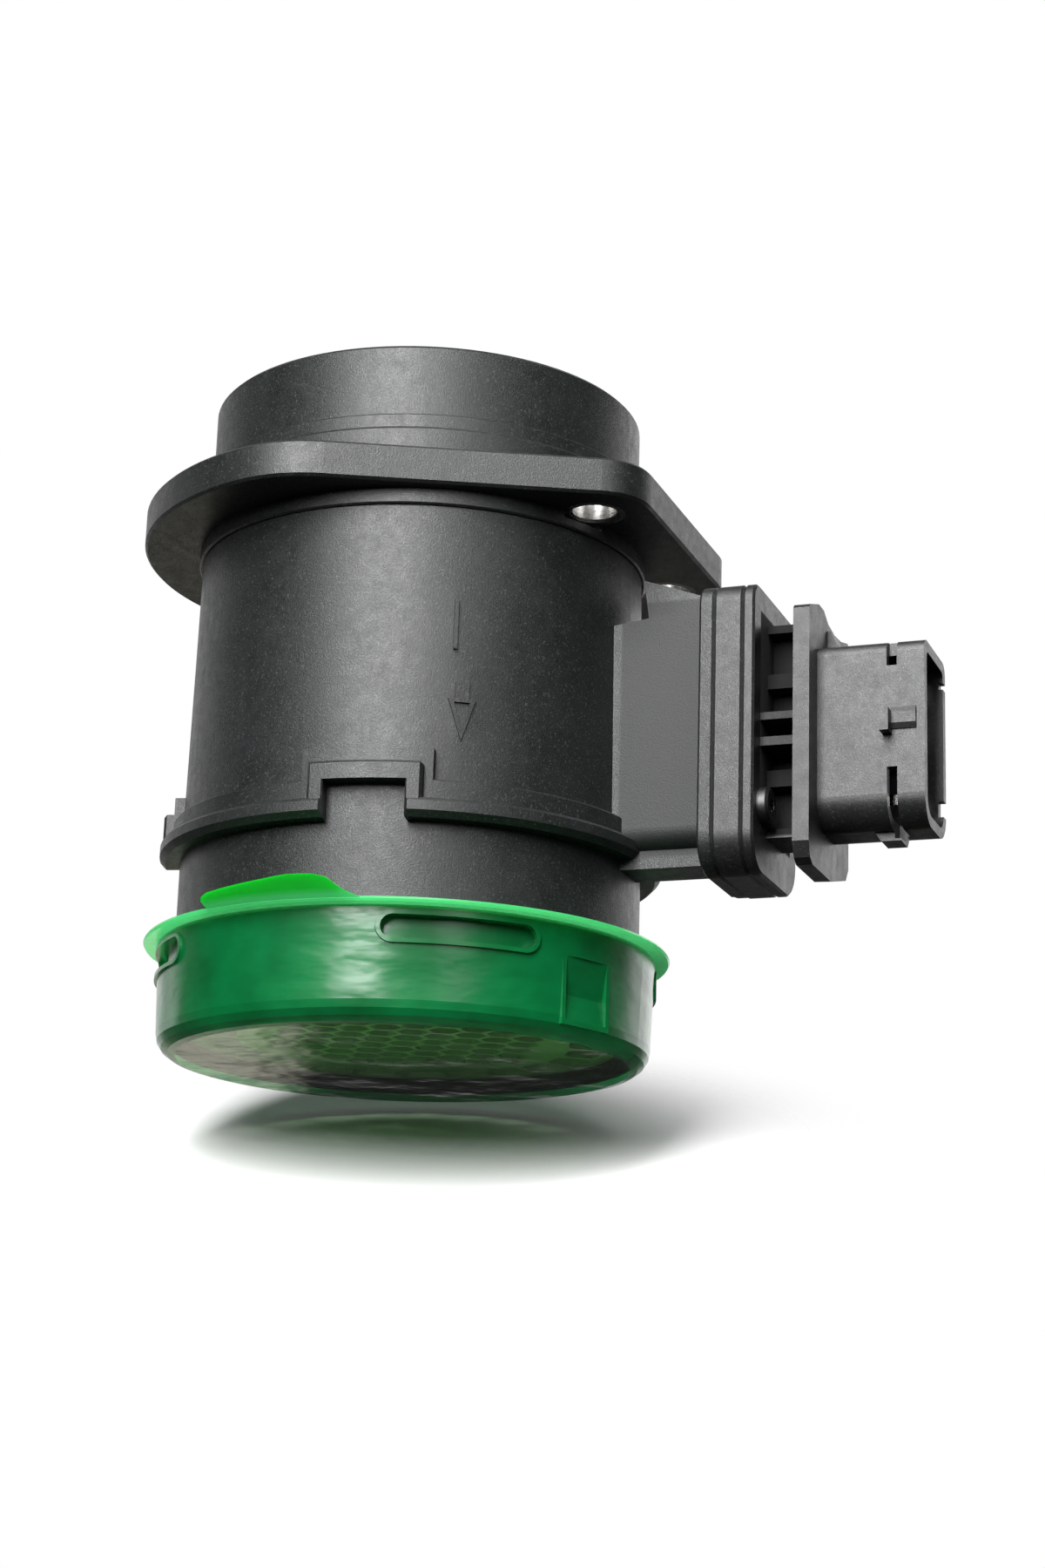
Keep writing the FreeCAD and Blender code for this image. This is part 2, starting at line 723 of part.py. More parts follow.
# Gap ribs and the core that carries the terminals between the two plates
grip_start = size("grip_start", 63.0)
grip_thick = size("grip_thick", 2.4)
grip_half = size("grip_half", 11.8)
grip_low = size("grip_low", 27.8)
grip_lug = size("grip_lug", 2.6)
grip_top = size("grip_top", 63.3)
grip_crest = size("grip_crest", 1.8)
core_half = size("core_half", 1.3)
rib_reach = size("rib_reach", 8.5)
short_reach = size("short_reach", 4.6)
grip_face = grip_start + grip_thick
bridge_start = flange_face - 0.5
bridge_end = grip_start + 0.5
rib_rows = [
    ("rib_a", 61.7, 62.9, short_reach),
    ("rib_b", 53.2, 55.4, short_reach),
    ("rib_c", 47.4, 48.5, rib_reach),
    ("rib_d", 43.5, 44.8, rib_reach),
    ("rib_e", 38.3, 40.8, short_reach),
    ("rib_f", 30.7, 32.0, short_reach),
]
ribs = []
rib_levels = []
for name, low, high, reach in rib_rows:
    low = size(name + "_low", low)
    high = size(name + "_top", high)
    rib_levels.append((low, high))
    ribs.append(box(name, bridge_start, bridge_end, -reach, reach, low, high))
core_low = rib_levels[-1][0]
core_top = rib_levels[0][1]
ribs.append(box("gap_core", bridge_start, bridge_end, -core_half, core_half, core_low, core_top))
grip = prism("grip_plate", "yz", [
    (-grip_half, grip_low + 0.4),
    (-grip_half + 1.0, grip_low - grip_lug * 0.7),
    (-grip_half + 2.4, grip_low - grip_lug),
    (1.0, grip_low - grip_lug),
    (grip_half - 1.6, grip_low - 0.4),
    (grip_half, grip_low + 1.6),
    (grip_half, grip_top + 1.0),
    (grip_half - 0.6, grip_top + 1.3),
    (grip_half - 4.6, grip_top + 0.3),
    (grip_half - 8.6, grip_top),
    (grip_half - 12.4, grip_top + 0.5),
    (grip_half - 15.2, grip_top + grip_crest),
    (-grip_half + 5.6, grip_top + grip_crest),
    (-grip_half + 0.6, grip_top + 0.2),
    (-grip_half, grip_top - 0.4),
], grip_start, grip_face)

# Connector shroud with its socket, key slots and latch lug
shroud_end = size("shroud_end", 81.1)
shroud_half = size("shroud_half", 7.15)
shroud_low = size("shroud_low", 31.2)
shroud_top = size("shroud_top", 58.5)
shroud_low_round = size("shroud_low_round", 4.4)
shroud_top_round = size("shroud_top_round", 1.8)
shroud_wall = size("shroud_wall", 1.6)
socket_top_round = size("socket_top_round", 1.0)
socket_floor = size("socket_floor", 68.0)
slot_start = size("slot_start", 75.6)
slot_wide = size("slot_wide", 1.5)
slot_deep = size("slot_deep", 1.9)
top_slot_low = size("top_slot_low", 54.6)
low_slot_top = size("low_slot_top", 39.5)
lug_start = size("lug_start", 75.0)
lug_wide = size("lug_wide", 1.35)
lug_low = size("lug_low", 44.3)
lug_top = size("lug_top", 47.6)
lug_proud = size("lug_proud", 2.5)
ridge_end = size("ridge_end", 79.9)
ridge_low = size("ridge_low", 45.0)
ridge_top = size("ridge_top", 48.2)
ridge_proud = size("ridge_proud", 0.6)
foot_start = size("foot_start", 72.7)
foot_end = size("foot_end", 76.5)
foot_half = size("foot_half", 2.2)
foot_drop = size("foot_drop", 1.3)

shroud = softened_bar("shroud", grip_face - 0.5, shroud_end, -shroud_half, shroud_half,
                      shroud_low, shroud_top, shroud_low_round, shroud_top_round)
socket = softened_bar("socket", socket_floor, shroud_end + 1, -shroud_half + shroud_wall,
                      shroud_half - shroud_wall, shroud_low + shroud_wall, shroud_top - shroud_wall,
                      shroud_low_round - shroud_wall, socket_top_round)
lug = box("latch_lug", lug_start, lug_start + lug_wide, -shroud_half - lug_proud, -shroud_half + 0.5,
          lug_low, lug_top)
ridge = prism("latch_ridge", "yz", [
    (-shroud_half + 0.5, ridge_low),
    (-shroud_half - ridge_proud * 0.4, ridge_low),
    (-shroud_half - ridge_proud, ridge_low + 0.8),
    (-shroud_half - ridge_proud, ridge_top - 0.8),
    (-shroud_half - ridge_proud * 0.4, ridge_top),
    (-shroud_half + 0.5, ridge_top),
], lug_start + lug_wide - 0.2, ridge_end)
foot = prism("shroud_foot", "xz", [
    (foot_start, shroud_low + 0.5),
    (foot_start, shroud_low),
    (foot_start + 0.9, shroud_low - foot_drop),
    (foot_end, shroud_low - foot_drop),
    (foot_end + 0.3, shroud_low),
    (foot_end + 0.3, shroud_low + 0.5),
], -foot_half, foot_half)
gusset = prism("shroud_gusset", "xz", [
    (grip_face - 0.5, shroud_top - 0.5),
    (grip_face + 4.6, shroud_top - 0.5),
    (grip_face + 3.0, shroud_top + 0.5),
    (grip_face + 1.5, shroud_top + 1.8),
    (grip_face + 0.5, grip_top - 0.8),
    (grip_face - 0.5, grip_top - 0.5),
], -1.0, 3.0)
outside_cuts = [
    box("top_slot", slot_start, slot_start + slot_wide, -shroud_half - 1, -shroud_half + slot_deep,
        top_slot_low, shroud_top + 1),
    cut("low_slot",
        box("low_slot_block", slot_start, slot_start + slot_wide, -shroud_half - 1, 1.0,
            shroud_low - 1, low_slot_top),
        softened_bar("low_slot_core", slot_start - 1, slot_start + slot_wide + 1, -shroud_half + slot_deep,
                     shroud_half, shroud_low + slot_deep, shroud_top, shroud_low_round - slot_deep, 0.5)),
    box("mouth_bite", shroud_end - 0.8, shroud_end + 1, shroud_half - 2.2, shroud_half + 1,
        size("bite_low", 35.0), size("bite_top", 37.4)),
    box("mouth_nick", shroud_end - 0.6, shroud_end + 1, shroud_half - 2.2, shroud_half + 1,
        size("nick_low", 54.4), size("nick_top", 55.4)),
]

# Terminals: five flat blades moulded into the carrier
pin_count = 5
pin_pitch = size("pin_pitch", 4.3)
pin_middle = size("pin_middle", 44.9)
pin_thick = size("pin_thick", 0.64)
pin_tall = size("pin_tall", 1.5)
pin_plane = size("pin_plane", -0.5)
pin_end = size("pin_end", 78.0)
pin_start = size("pin_start", 36.4)
pin_point = size("pin_point", 0.8)


def pin_levels(i):
    middle = pin_middle + pin_pitch * (i - (pin_count - 1) / 2)
    return middle - pin_tall / 2, middle + pin_tall / 2


pin_slots = []
for i in range(pin_count):
    low, high = pin_levels(i)
    pin_slots.append(box("pin_slot_%d" % (i + 1), pin_start, socket_floor + 0.5,
                         pin_plane - pin_thick / 2, pin_plane + pin_thick / 2, low, high))

# Hollows in the blade: electronics tray, measuring channel, lid seats
channel_end = size("channel_end", 10.5)
channel_start = size("channel_start", -5.0)
channel_floor = size("channel_floor", 3.0)
channel_mouth = size("channel_mouth", 5.0)
channel_turn = size("channel_turn", 4.5)
holder_start = size("holder_start", 0.5)
holder_end = size("holder_end", 13.4)
holder_low = size("holder_low", 44.3)
holder_top = size("holder_top", 50.3)
holder_thick = size("holder_thick", 1.2)
chip_start = size("chip_start", 1.6)
chip_end = size("chip_end", 6.6)
chip_thick = size("chip_thick", 0.4)
chip_inset = size("chip_inset", 1.2)
lid_face = -blade_half + lid_thick

channel_low = blade_low + tray_wall + lid_seat
channel_high = blade_top - tray_wall - lid_seat
tray_box = box("tray_hollow", tray_start, tray_end, -blade_half - 1, tray_floor, channel_low, channel_high)
lid_seat_box = box("lid_seat_hollow", tray_start - lid_seat, tray_end + lid_seat, -blade_half - 1, lid_face,
                   blade_low + tray_wall, blade_top - tray_wall)
channel = prism("channel_hollow", "xz", [
    (channel_start + 1.5, blade_low - 1),
    (channel_start + 1.5 + channel_mouth, blade_low - 1),
    (channel_start + 1.5 + channel_mouth, channel_low + 3),
    (channel_end, channel_low + 6),
    (channel_end, channel_high - 2.5),
    (channel_end - 2.5, channel_high),
    (channel_start + 2.5, channel_high),
    (channel_start, channel_high - 2.5),
    (channel_start, channel_low + 2),
    (channel_start + 1.5, channel_low),
], -blade_half - 1, channel_floor)
channel_exit = box("channel_exit", channel_start + 3, channel_start + 8, lid_face + 1,
                   channel_floor, channel_high - 1, blade_top + 1)
channel_seat = box("channel_seat", channel_start - lid_seat, channel_end + lid_seat, -blade_half - 1,
                   lid_face, blade_low + tray_wall, blade_top - tray_wall)
holder_slot = box("holder_slot", channel_end - 0.5, tray_start + 0.5, tray_floor - holder_thick, tray_floor,
                  holder_low, holder_top)
groove = cut(
    "seal_groove",
    box("groove_block", seal_start, seal_start + seal_wide + seal_slack, -plug_half - 1, plug_half + 1,
        plug_low - 1, plug_top + 1),
    softened_bar("groove_core", seal_start - 1, seal_start + seal_wide + seal_slack + 1,
                 -plug_half + groove_deep, plug_half - groove_deep,
                 plug_low + groove_deep, plug_top - groove_deep, groove_round, groove_round),
)
lead_radius = size("lead_radius", 0.3)
lead_start = size("lead_start", 20.0)
lead_gap = size("lead_gap", 3.0)
lead_sunk = size("lead_sunk", 35.2)
lead_plane = size("lead_plane", 2.9)


def lead_rods(name, low, high):
    """Two round bars where the two leads run."""
    return [rod_z("%s_%d" % (name, i), lead_radius, low, high, lead_start + lead_gap * i, lead_plane)
            for i in range(2)]


lead_holes = lead_rods("lead_hole", blade_low - 1, lead_sunk)
carrier_cuts = [socket, tray_box, lid_seat_box, channel, channel_exit, channel_seat, holder_slot, groove]
carrier_cuts += outside_cuts + pin_slots + lead_holes
for i, (aside, level) in enumerate(screw_spots):
    carrier_cuts.append(rod_x("lid_hole_%d" % i, screw_shank + screw_play, frame_face - 1, flange_face + 1,
                              aside, level))
carrier_solid = fuse("carrier_solid", [lid_plate, plug, blade, grip, shroud, lug, ridge, foot, gusset] + ribs)
finish(cut("sensor_carrier", carrier_solid, fuse("carrier_cuts", carrier_cuts)), "sensor_carrier")

# Seal ring in the groove of the plug
seal_outer = softened_bar("seal_outer", seal_start, seal_start + seal_wide, -pocket_half, pocket_half,
                          pocket_low, pocket_top, pocket_round, pocket_round)
seal_inner = softened_bar("seal_inner", seal_start - 1, seal_start + seal_wide + 1, -plug_half + groove_deep,
                          plug_half - groove_deep, plug_low + groove_deep, plug_top - groove_deep,
                          groove_round, groove_round)
finish(cut("seal_ring", seal_outer, seal_inner), "seal_ring")

# Electronics in the tray
plate_in = size("plate_in", 0.6)
base_thick = size("base_thick", 0.8)
board_thick = size("board_thick", 0.8)
base = box("base_plate", tray_start + plate_in, tray_end - plate_in, tray_floor - base_thick, tray_floor,
           channel_low + plate_in, channel_high - plate_in)
finish(base, "base_plate")
board_face = tray_floor - base_thick - board_thick
board = box("circuit_board", tray_start + plate_in + 1, tray_end - plate_in - 3, board_face,
            tray_floor - base_thick, channel_low + 2, channel_high - 2)
finish(board, "circuit_board")
processor_tall = size("processor_tall", 1.4)
processor_start = size("processor_start", 20.0)
processor_low = size("processor_low", 43.8)
processor_wide = size("processor_wide", 7.0)
processor = box("signal_processor", processor_start, processor_start + processor_wide,
                board_face - processor_tall, board_face, processor_low, processor_low + processor_wide)
finish(processor, "signal_processor")
capacitor_tall = size("capacitor_tall", 0.9)
capacitor_long = size("capacitor_long", 3.2)
capacitor_wide = size("capacitor_wide", 1.6)
capacitor_start = size("capacitor_start", 18.0)
capacitor_pitch = size("capacitor_pitch", 5.0)
capacitor_rows = [size("capacitor_low", 39.4), size("capacitor_high", 53.9)]
capacitors = []
for i in range(3):
    for j, level in enumerate(capacitor_rows):
        start = capacitor_start + capacitor_pitch * i
        capacitors.append(box("capacitor_%d_%d" % (i, j), start, start + capacitor_long,
                              board_face - capacitor_tall, board_face, level, level + capacitor_wide))
group = doc.addObject("Part::Compound", "chip_capacitors")
group.Links = capacitors
finish(group, "chip_capacitors")

holder = box("chip_holder", holder_start, holder_end, tray_floor - holder_thick, tray_floor,
             holder_low, holder_top)
finish(holder, "chip_holder")
holder_face = tray_floor - holder_thick
film = box("flow_chip", chip_start, chip_end, holder_face - chip_thick, holder_face,
           holder_low + chip_inset, holder_top - chip_inset)
finish(film, "flow_chip")

# Lids over the tray and over the measuring channel
pad_rise = size("pad_rise", 0.4)
lid = fuse("electronics_lid", [
    box("lid_slab", tray_start - lid_seat, tray_end + lid_seat, -blade_half, lid_face,
        blade_low + tray_wall, blade_top - tray_wall),
    box("lid_pad", tray_start + 2, tray_end - 2, lid_face - 0.1, lid_face + pad_rise,
        blade_low + tray_wall + 3, blade_top - tray_wall - 3),
])
finish(lid, "electronics_cover")
bypass_slab = box("bypass_slab", channel_start - lid_seat, channel_end + lid_seat, -blade_half, lid_face,
                  blade_low + tray_wall, blade_top - tray_wall)
vent_low = size("vent_low", 53.4)
vent_tall = size("vent_tall", 3.5)
bypass_vent = box("bypass_vent", channel_start + 4, channel_start + 8, -blade_half - 1, lid_face + 1,
                  vent_low, vent_low + vent_tall)
finish(cut("bypass_lid", bypass_slab, bypass_vent), "bypass_cover")

# Terminals
for i in range(pin_count):
    low, high = pin_levels(i)
    near = pin_plane - pin_thick / 2
    far = pin_plane + pin_thick / 2
    blade_body = prism("terminal_body_%d" % (i + 1), "xz", [
        (pin_start, low),
        (pin_end - pin_point, low),
        (pin_end, low + pin_tall * 0.3),
        (pin_end, high - pin_tall * 0.3),
        (pin_end - pin_point, high),
        (pin_start, high),
    ], near, far)
    finish(blade_body, "terminal_%d" % (i + 1))

# Screws with a star-shaped drive
screw_play_end = size("screw_play_end", 0.4)
drive_half = size("drive_half", 0.35)
screw_bevel = size("screw_bevel", 0.4)
drive_bars = 3
head_top = flange_face + screw_head_tall


def head_rim(start, edge):
    return abs(start.x - head_top.value) < 0.01 and edge.Length > 10


def drive_star(name, aside, level):
    """Crossed bars that leave a star-shaped socket in a screw head."""
    bars = []
    for j in range(drive_bars):
        lean = plain(180.0 / drive_bars * j)
        along_y, along_z = cosine(lean), sine(lean)
        bars.append(prism("%s_bar_%d" % (name, j), "yz", [
            (aside + a * along_y - b * along_z, level + a * along_z + b * along_y)
            for a, b in ((-drive_radius, -drive_half), (drive_radius, -drive_half),
                         (drive_radius, drive_half), (-drive_radius, drive_half))
        ], head_top - drive_deep, head_top + 1))
    return fuse(name, bars)


screws = []
for i, (aside, level) in enumerate(screw_spots):
    shank = rod_x("screw_shank_%d" % i, screw_shank, screw_tip + screw_play_end, flange_face + 0.3,
                  aside, level)
    head = rod_x("screw_head_%d" % i, screw_head_radius, flange_face, head_top, aside, level)
    whole = fuse("screw_whole_%d" % i, [shank, head])
    soft = bevelled("screw_soft_%d" % i, whole, screw_bevel, head_rim)
    screws.append(cut("screw_%d" % i, soft, drive_star("drive_%d" % i, aside, level)))
pair = doc.addObject("Part::Compound", "sensor_screws")
pair.Links = screws
finish(pair, "sensor_screws")

# Air temperature bead on two leads below the blade
bead_level = size("bead_level", 29.0)
bead_radius = size("bead_radius", 1.1)
bead_end = size("bead_end", 0.9)
lead_pair = doc.addObject("Part::Compound", "temperature_leads")
lead_pair.Links = lead_rods("lead", bead_level, lead_sunk)
finish(lead_pair, "temperature_leads")
bead_bar = rod_x("bead_bar", bead_radius, lead_start - bead_end, lead_start + lead_gap + bead_end,
                 lead_plane, bead_level)
finish(cut("temperature_bead", bead_bar, fuse("bead_holes", lead_rods("bead_hole", bead_level, lead_sunk))),
       "temperature_bead")

# Transport cap: thin bowl with a lip, four pressed-in ovals, a folded pocket and a pull tab
cap_wall = size("cap_wall", 1.0)
cap_foot_radius = size("cap_foot_radius", 37.0)
cap_top_radius = size("cap_top_radius", 37.5)
cap_round = size("cap_round", 3.0)
round_steps = 4
lip_low = size("lip_low", 16.2)
lip_thick = size("lip_thick", 0.7)
lip_radius = size("lip_radius", 39.7)
dimple_angle = size("dimple_angle", 34.0)
dimple_level = size("dimple_level", 13.15)
dimple_half = size("dimple_half", 11.2)
dimple_tall = size("dimple_tall", 3.4)
dimple_border = size("dimple_border", 0.6)
border_proud = size("border_proud", 0.35)
lip_top = lip_low + lip_thick

hollow_round = cap_round - cap_wall
bowl = turned("bowl", [(0, 0)] + arc_steps(
    cap_foot_radius - cap_round, cap_round, cap_round, -90.0, 0.0, round_steps) + [
    (cap_top_radius, lip_low),
    (lip_radius - lip_thick / 3, lip_low),
    (lip_radius, lip_low + lip_thick / 2),
    (lip_radius - lip_thick / 3, lip_top),
    (0, lip_top),
])
hollow_middle = cap_foot_radius - cap_wall - hollow_round
hollow = turned("hollow", [(0, cap_floor)] + arc_steps(
    hollow_middle, cap_floor + hollow_round, hollow_round, -90.0, 0.0, round_steps) + [
    (cap_top_radius - cap_wall, lip_low),
    (cap_top_radius - cap_wall + 0.3, lip_top + 1),
    (0, lip_top + 1),
])


def oval_bars(name, half_long, half_tall, angle, reach):
    """Two crossed oval bars through the axis, seen as ovals from four sides."""
    made = []
    for i in range(2):
        turn = angle + 90.0 * i
        bar = cross_bar("%s_bar_%d" % (name, i), reach, half_long, dimple_level - half_tall,
                        dimple_level + half_tall, turn)
        away = FreeCAD.Vector(cosine(turn).value, sine(turn).value, 0)
        round_off = plain(half_tall).value - 0.02

        def long_edges(middle, along, edge):
            return along.Length > 1 and abs(along.normalize().dot(away)) > 0.999

        made.append(rounded("%s_oval_%d" % (name, i), bar, round_off, long_edges))
    return fuse(name, made)


oval_reach = size("oval_reach", 44.0)
outer_ovals = oval_bars("outer_ovals", dimple_half + dimple_border, dimple_tall / 2 + dimple_border,
                        dimple_angle, oval_reach)
inner_ovals = oval_bars("inner_ovals", dimple_half, dimple_tall / 2, dimple_angle, oval_reach)
border_round = cut(
    "border_round",
    rod_z("border_out", cap_top_radius + border_proud - 0.1, dimple_level - 3, dimple_level + 3),
    rod_z("border_in", inlet_radius, dimple_level - 4, dimple_level + 4),
)
dimple_solid = common("dimple_solid", outer_ovals, border_round)
dimple_cut = cut(
    "dimple_cut",
    inner_ovals,
    rod_z("dimple_core", inlet_radius + cap_wall * 0.8, dimple_level - 4, dimple_level + 4),
)

# Folded pocket pressed into the wall beside one of the ovals
fold_angle = size("fold_angle", -23.6)
fold_half = size("fold_half", 4.2)
fold_low = size("fold_low", 3.0)
fold_crease = size("fold_crease", 6.2)
fold_top = size("fold_top", 11.6)
fold_deep = size("fold_deep", 1.0)


def radial_prism(name, points, angle, half):
    """A block drawn in the plane through the axis at an angle, run out to both sides."""
    block = prism(name, "xz", points, -half.value, half.value)
    spin = FreeCAD.Rotation(FreeCAD.Vector(0, 0, 1), angle.value)
    lift = FreeCAD.Rotation(FreeCAD.Vector(1, 0, 0), 90)
    across = spin.multVec(FreeCAD.Vector(0, 1, 0))
    block.Base.Placement = FreeCAD.Placement(across * -half.value, spin.multiply(lift))
    block.Base.setExpression("Placement.Base.x", (half * sine(angle)).text)
    block.Base.setExpression("Placement.Base.y", (-half * cosine(angle)).text)
    bind(block, "LengthFwd", half * 2)
    block.Dir = across
    return block


fold_solid = radial_prism("fold_solid", [
    (cap_top_radius - cap_wall / 2, fold_low - 1.2),
    (cap_top_radius - cap_wall / 2, fold_top + 0.8),
    (cap_top_radius - cap_wall, fold_top + 0.8),
    (inlet_radius + 0.25, fold_crease),
    (cap_top_radius - cap_wall - 0.3, fold_low - 1.2),
], fold_angle, fold_half + 0.7)
fold_cut = radial_prism("fold_cut", [
    (cap_top_radius + 2, fold_low - 0.4),
    (cap_top_radius + 2, fold_top),
    (cap_top_radius - 0.4, fold_top),
    (cap_top_radius - cap_wall / 2 - 0.75, fold_crease),
    (cap_foot_radius - 0.3, fold_low - 0.4),
], fold_angle, fold_half)

# Pull tab, a leaf that stands up and leans out from the lip
tab_angle = size("tab_angle", -95.7)
tab_lean = size("tab_lean", 1.7)
tab_rise = size("tab_rise", 2.9)
tab_thick = size("tab_thick", 0.6)
tab_half = size("tab_half", 13.0)
tab_cone = turned("tab_cone", [
    (lip_radius - 1.5, lip_low + 0.1),
    (lip_radius - 0.2, lip_low + 0.1),
    (lip_radius + tab_lean, lip_top + tab_rise),
    (lip_radius + tab_lean - tab_thick, lip_top + tab_rise + 0.1),
    (lip_radius - tab_thick - 0.4, lip_top),
    (lip_radius - 1.5, lip_top),
])
tab_leaf = side_prism("tab_leaf", [
    (-tab_half + 1.6, lip_low),
    (tab_half, lip_low),
    (tab_half - 0.6, lip_top - 0.1),
    (tab_half - 2.8, lip_top + tab_rise * 0.3),
    (tab_half - 4.6, lip_top + tab_rise * 0.82),
    (tab_half - 6.4, lip_top + tab_rise * 0.97),
    (tab_half - 10.0, lip_top + tab_rise * 1.02),
    (-tab_half + 11.5, lip_top + tab_rise * 0.88),
    (-tab_half + 4.7, lip_top + tab_rise * 0.71),
    (-tab_half + 1.5, lip_top + tab_rise * 0.62),
    (-tab_half + 0.3, lip_top + tab_rise * 0.48),
    (-tab_half, lip_top + tab_rise * 0.3),
    (-tab_half + 0.5, lip_top + tab_rise * 0.08),
], tab_angle, inlet_radius, lip_radius + tab_lean + 2)
tab = common("pull_tab", tab_cone, tab_leaf)

cap_parts = fuse("cap_parts", [cut("bowl_shell", bowl, hollow), dimple_solid, fold_solid, tab])
finish(cut("dust_cap", cap_parts, fuse("cap_cuts", [dimple_cut, fold_cut])), "dust_cap")

# Build, check and write every piece
doc.recompute()
problems = []
for thing in doc.Objects:
    if "Invalid" in thing.State or "Error" in thing.State:
        problems.append("%s: %s" % (thing.Name, thing.State))
for thing in nodes:
    shape = thing.Shape
    if shape.isNull() or not shape.isValid() or not shape.Solids:
        problems.append("%s has no sound solid" % thing.Label)
if problems:
    raise RuntimeError("; ".join(problems))

os.makedirs("parts", exist_ok=True)
total = 0.0
for thing in nodes:
    thing.Shape.exportStep("parts/%s.step" % thing.Label)
    bounds = thing.Shape.BoundBox
    total += thing.Shape.Volume
    print("%-20s solids %d volume %.1f  x %.2f..%.2f  y %.2f..%.2f  z %.2f..%.2f" % (
        thing.Label, len(thing.Shape.Solids), thing.Shape.Volume, bounds.XMin, bounds.XMax,
        bounds.YMin, bounds.YMax, bounds.ZMin, bounds.ZMax))
print("pieces", len(nodes), "volume", round(total, 1))
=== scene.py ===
# %% [markdown]
# # A mass airflow sensor in its green transport cap
#
# The sensor sits in a car's air intake. Air runs through the round duct, and a
# small plug-in unit on the side measures it. This lesson starts from the packed
# CAD model, which is fixed, and gives it a camera, a small studio, and finishes
# that show what each piece is made of. Every length is in metres.

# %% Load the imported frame
import math

import bpy
from mathutils import Matrix, Vector

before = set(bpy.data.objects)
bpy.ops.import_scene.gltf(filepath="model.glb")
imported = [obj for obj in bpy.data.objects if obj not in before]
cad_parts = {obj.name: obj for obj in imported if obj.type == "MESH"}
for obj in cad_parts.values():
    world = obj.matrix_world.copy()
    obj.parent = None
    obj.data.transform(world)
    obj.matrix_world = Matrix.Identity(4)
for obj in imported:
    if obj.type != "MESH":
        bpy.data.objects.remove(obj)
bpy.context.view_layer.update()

MM = 0.001


def in_mm(place, digits=1):
    """A place in rounded millimetres, for printing."""
    return [round(v / MM, digits) for v in place]


print("CAD nodes:", len(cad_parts))

# %% [markdown]
# ## The camera
#
# The picture looks up at the capped end from about half a metre away. The camera
# could be placed by eye, but a turn, a rise and a roll, with the place of the
# model's origin in front of the lens, say the same view in a few numbers, and
# they can be read off the circles of the duct.

# %% Place the camera
VIEW_TURN = math.radians(20.5)
VIEW_RISE = math.radians(-15.38)
VIEW_ROLL = math.radians(1.82)
ORIGIN_SEEN = Vector((-17.96, -42.22, -424.5)) * MM
LENS = 65.09
SENSOR = 36.0
NEAREST_SEEN = 10 * MM

looking = Vector((
    -math.sin(VIEW_TURN) * math.cos(VIEW_RISE),
    math.cos(VIEW_TURN) * math.cos(VIEW_RISE),
    -math.sin(VIEW_RISE),
))
level_right = Vector((math.cos(VIEW_TURN), math.sin(VIEW_TURN), 0.0))
level_up = level_right.cross(looking)
view_right = level_right * math.cos(VIEW_ROLL) + level_up * math.sin(VIEW_ROLL)
view_up = level_up * math.cos(VIEW_ROLL) - level_right * math.sin(VIEW_ROLL)
view_place = -(view_right * ORIGIN_SEEN.x + view_up * ORIGIN_SEEN.y - looking * ORIGIN_SEEN.z)

scene = bpy.context.scene
lens = bpy.data.cameras.new("studio_camera")
lens.lens = LENS
lens.sensor_fit = "VERTICAL"
lens.sensor_height = SENSOR
lens.clip_start = NEAREST_SEEN
camera = bpy.data.objects.new("studio_camera", lens)
turned = Matrix((view_right, view_up, -looking)).transposed().to_4x4()
camera.matrix_world = Matrix.Translation(view_place) @ turned
scene.collection.objects.link(camera)
scene.camera = camera
print("camera at mm:", in_mm(view_place))

# %% [markdown]
# ## Helpers for shading trees
#
# The room, the floor and every finish are small trees of nodes. Most of their
# parts repeat: a step between two values, a product, a noise at some grain size.
# Short helpers keep each recipe to the numbers that matter.

# %% Helpers for values and shaders


def spread(tree, value, low, high, to_low, to_high):
    """Maps a value from one range to another, clamped."""
    step = tree.nodes.new("ShaderNodeMapRange")
    step.inputs["From Min"].default_value = low
    step.inputs["From Max"].default_value = high
    step.inputs["To Min"].default_value = to_low
    step.inputs["To Max"].default_value = to_high
    tree.links.new(value, step.inputs["Value"])
    return step.outputs["Result"]


def soft_edge(tree, value, edge):
    """Rises softly from 0 to 1 between the two values of edge."""
    step = tree.nodes.new("ShaderNodeMapRange")
    step.interpolation_type = "SMOOTHSTEP"
    step.inputs["From Min"].default_value = edge[0]
    step.inputs["From Max"].default_value = edge[1]
    tree.links.new(value, step.inputs["Value"])
    return step.outputs["Result"]


def worked_out(tree, operation, first, second):
    """Works out one value from two others."""
    step = tree.nodes.new("ShaderNodeMath")
    step.operation = operation
    tree.links.new(first, step.inputs[0])
    tree.links.new(second, step.inputs[1])
    return step.outputs["Value"]


def toward(tree, direction, way):
    """How far a direction points the given way, from -1 to 1."""
    along = tree.nodes.new("ShaderNodeVectorMath")
    along.operation = "DOT_PRODUCT"
    along.inputs[1].default_value = way
    tree.links.new(direction, along.inputs[0])
    return along.outputs["Value"]


def either(tree, amount, first, second):
    """Mixes two shaders: only the first at 0, only the second at 1."""
    mix = tree.nodes.new("ShaderNodeMixShader")
    tree.links.new(amount, mix.inputs["Fac"])
    tree.links.new(first, mix.inputs[1])
    tree.links.new(second, mix.inputs[2])
    return mix.outputs["Shader"]


print("helpers for values and shaders: 5")

# %% [markdown]
# ## The room
#
# Black plastic shows its shape by what it mirrors. The room before the object is
# dark. A white backdrop stands behind it and ends near the level of the floor: the
# outer edges of the duct mirror it in thin bright rims, and the undersides stay
# black because nothing white lies below. Only low on the left is there the edge of
# a beige table, which the flat foot of the cap mirrors. The camera itself sees
# plain white all round.

# %% Paint the room
scene.view_settings.view_transform = "Standard"

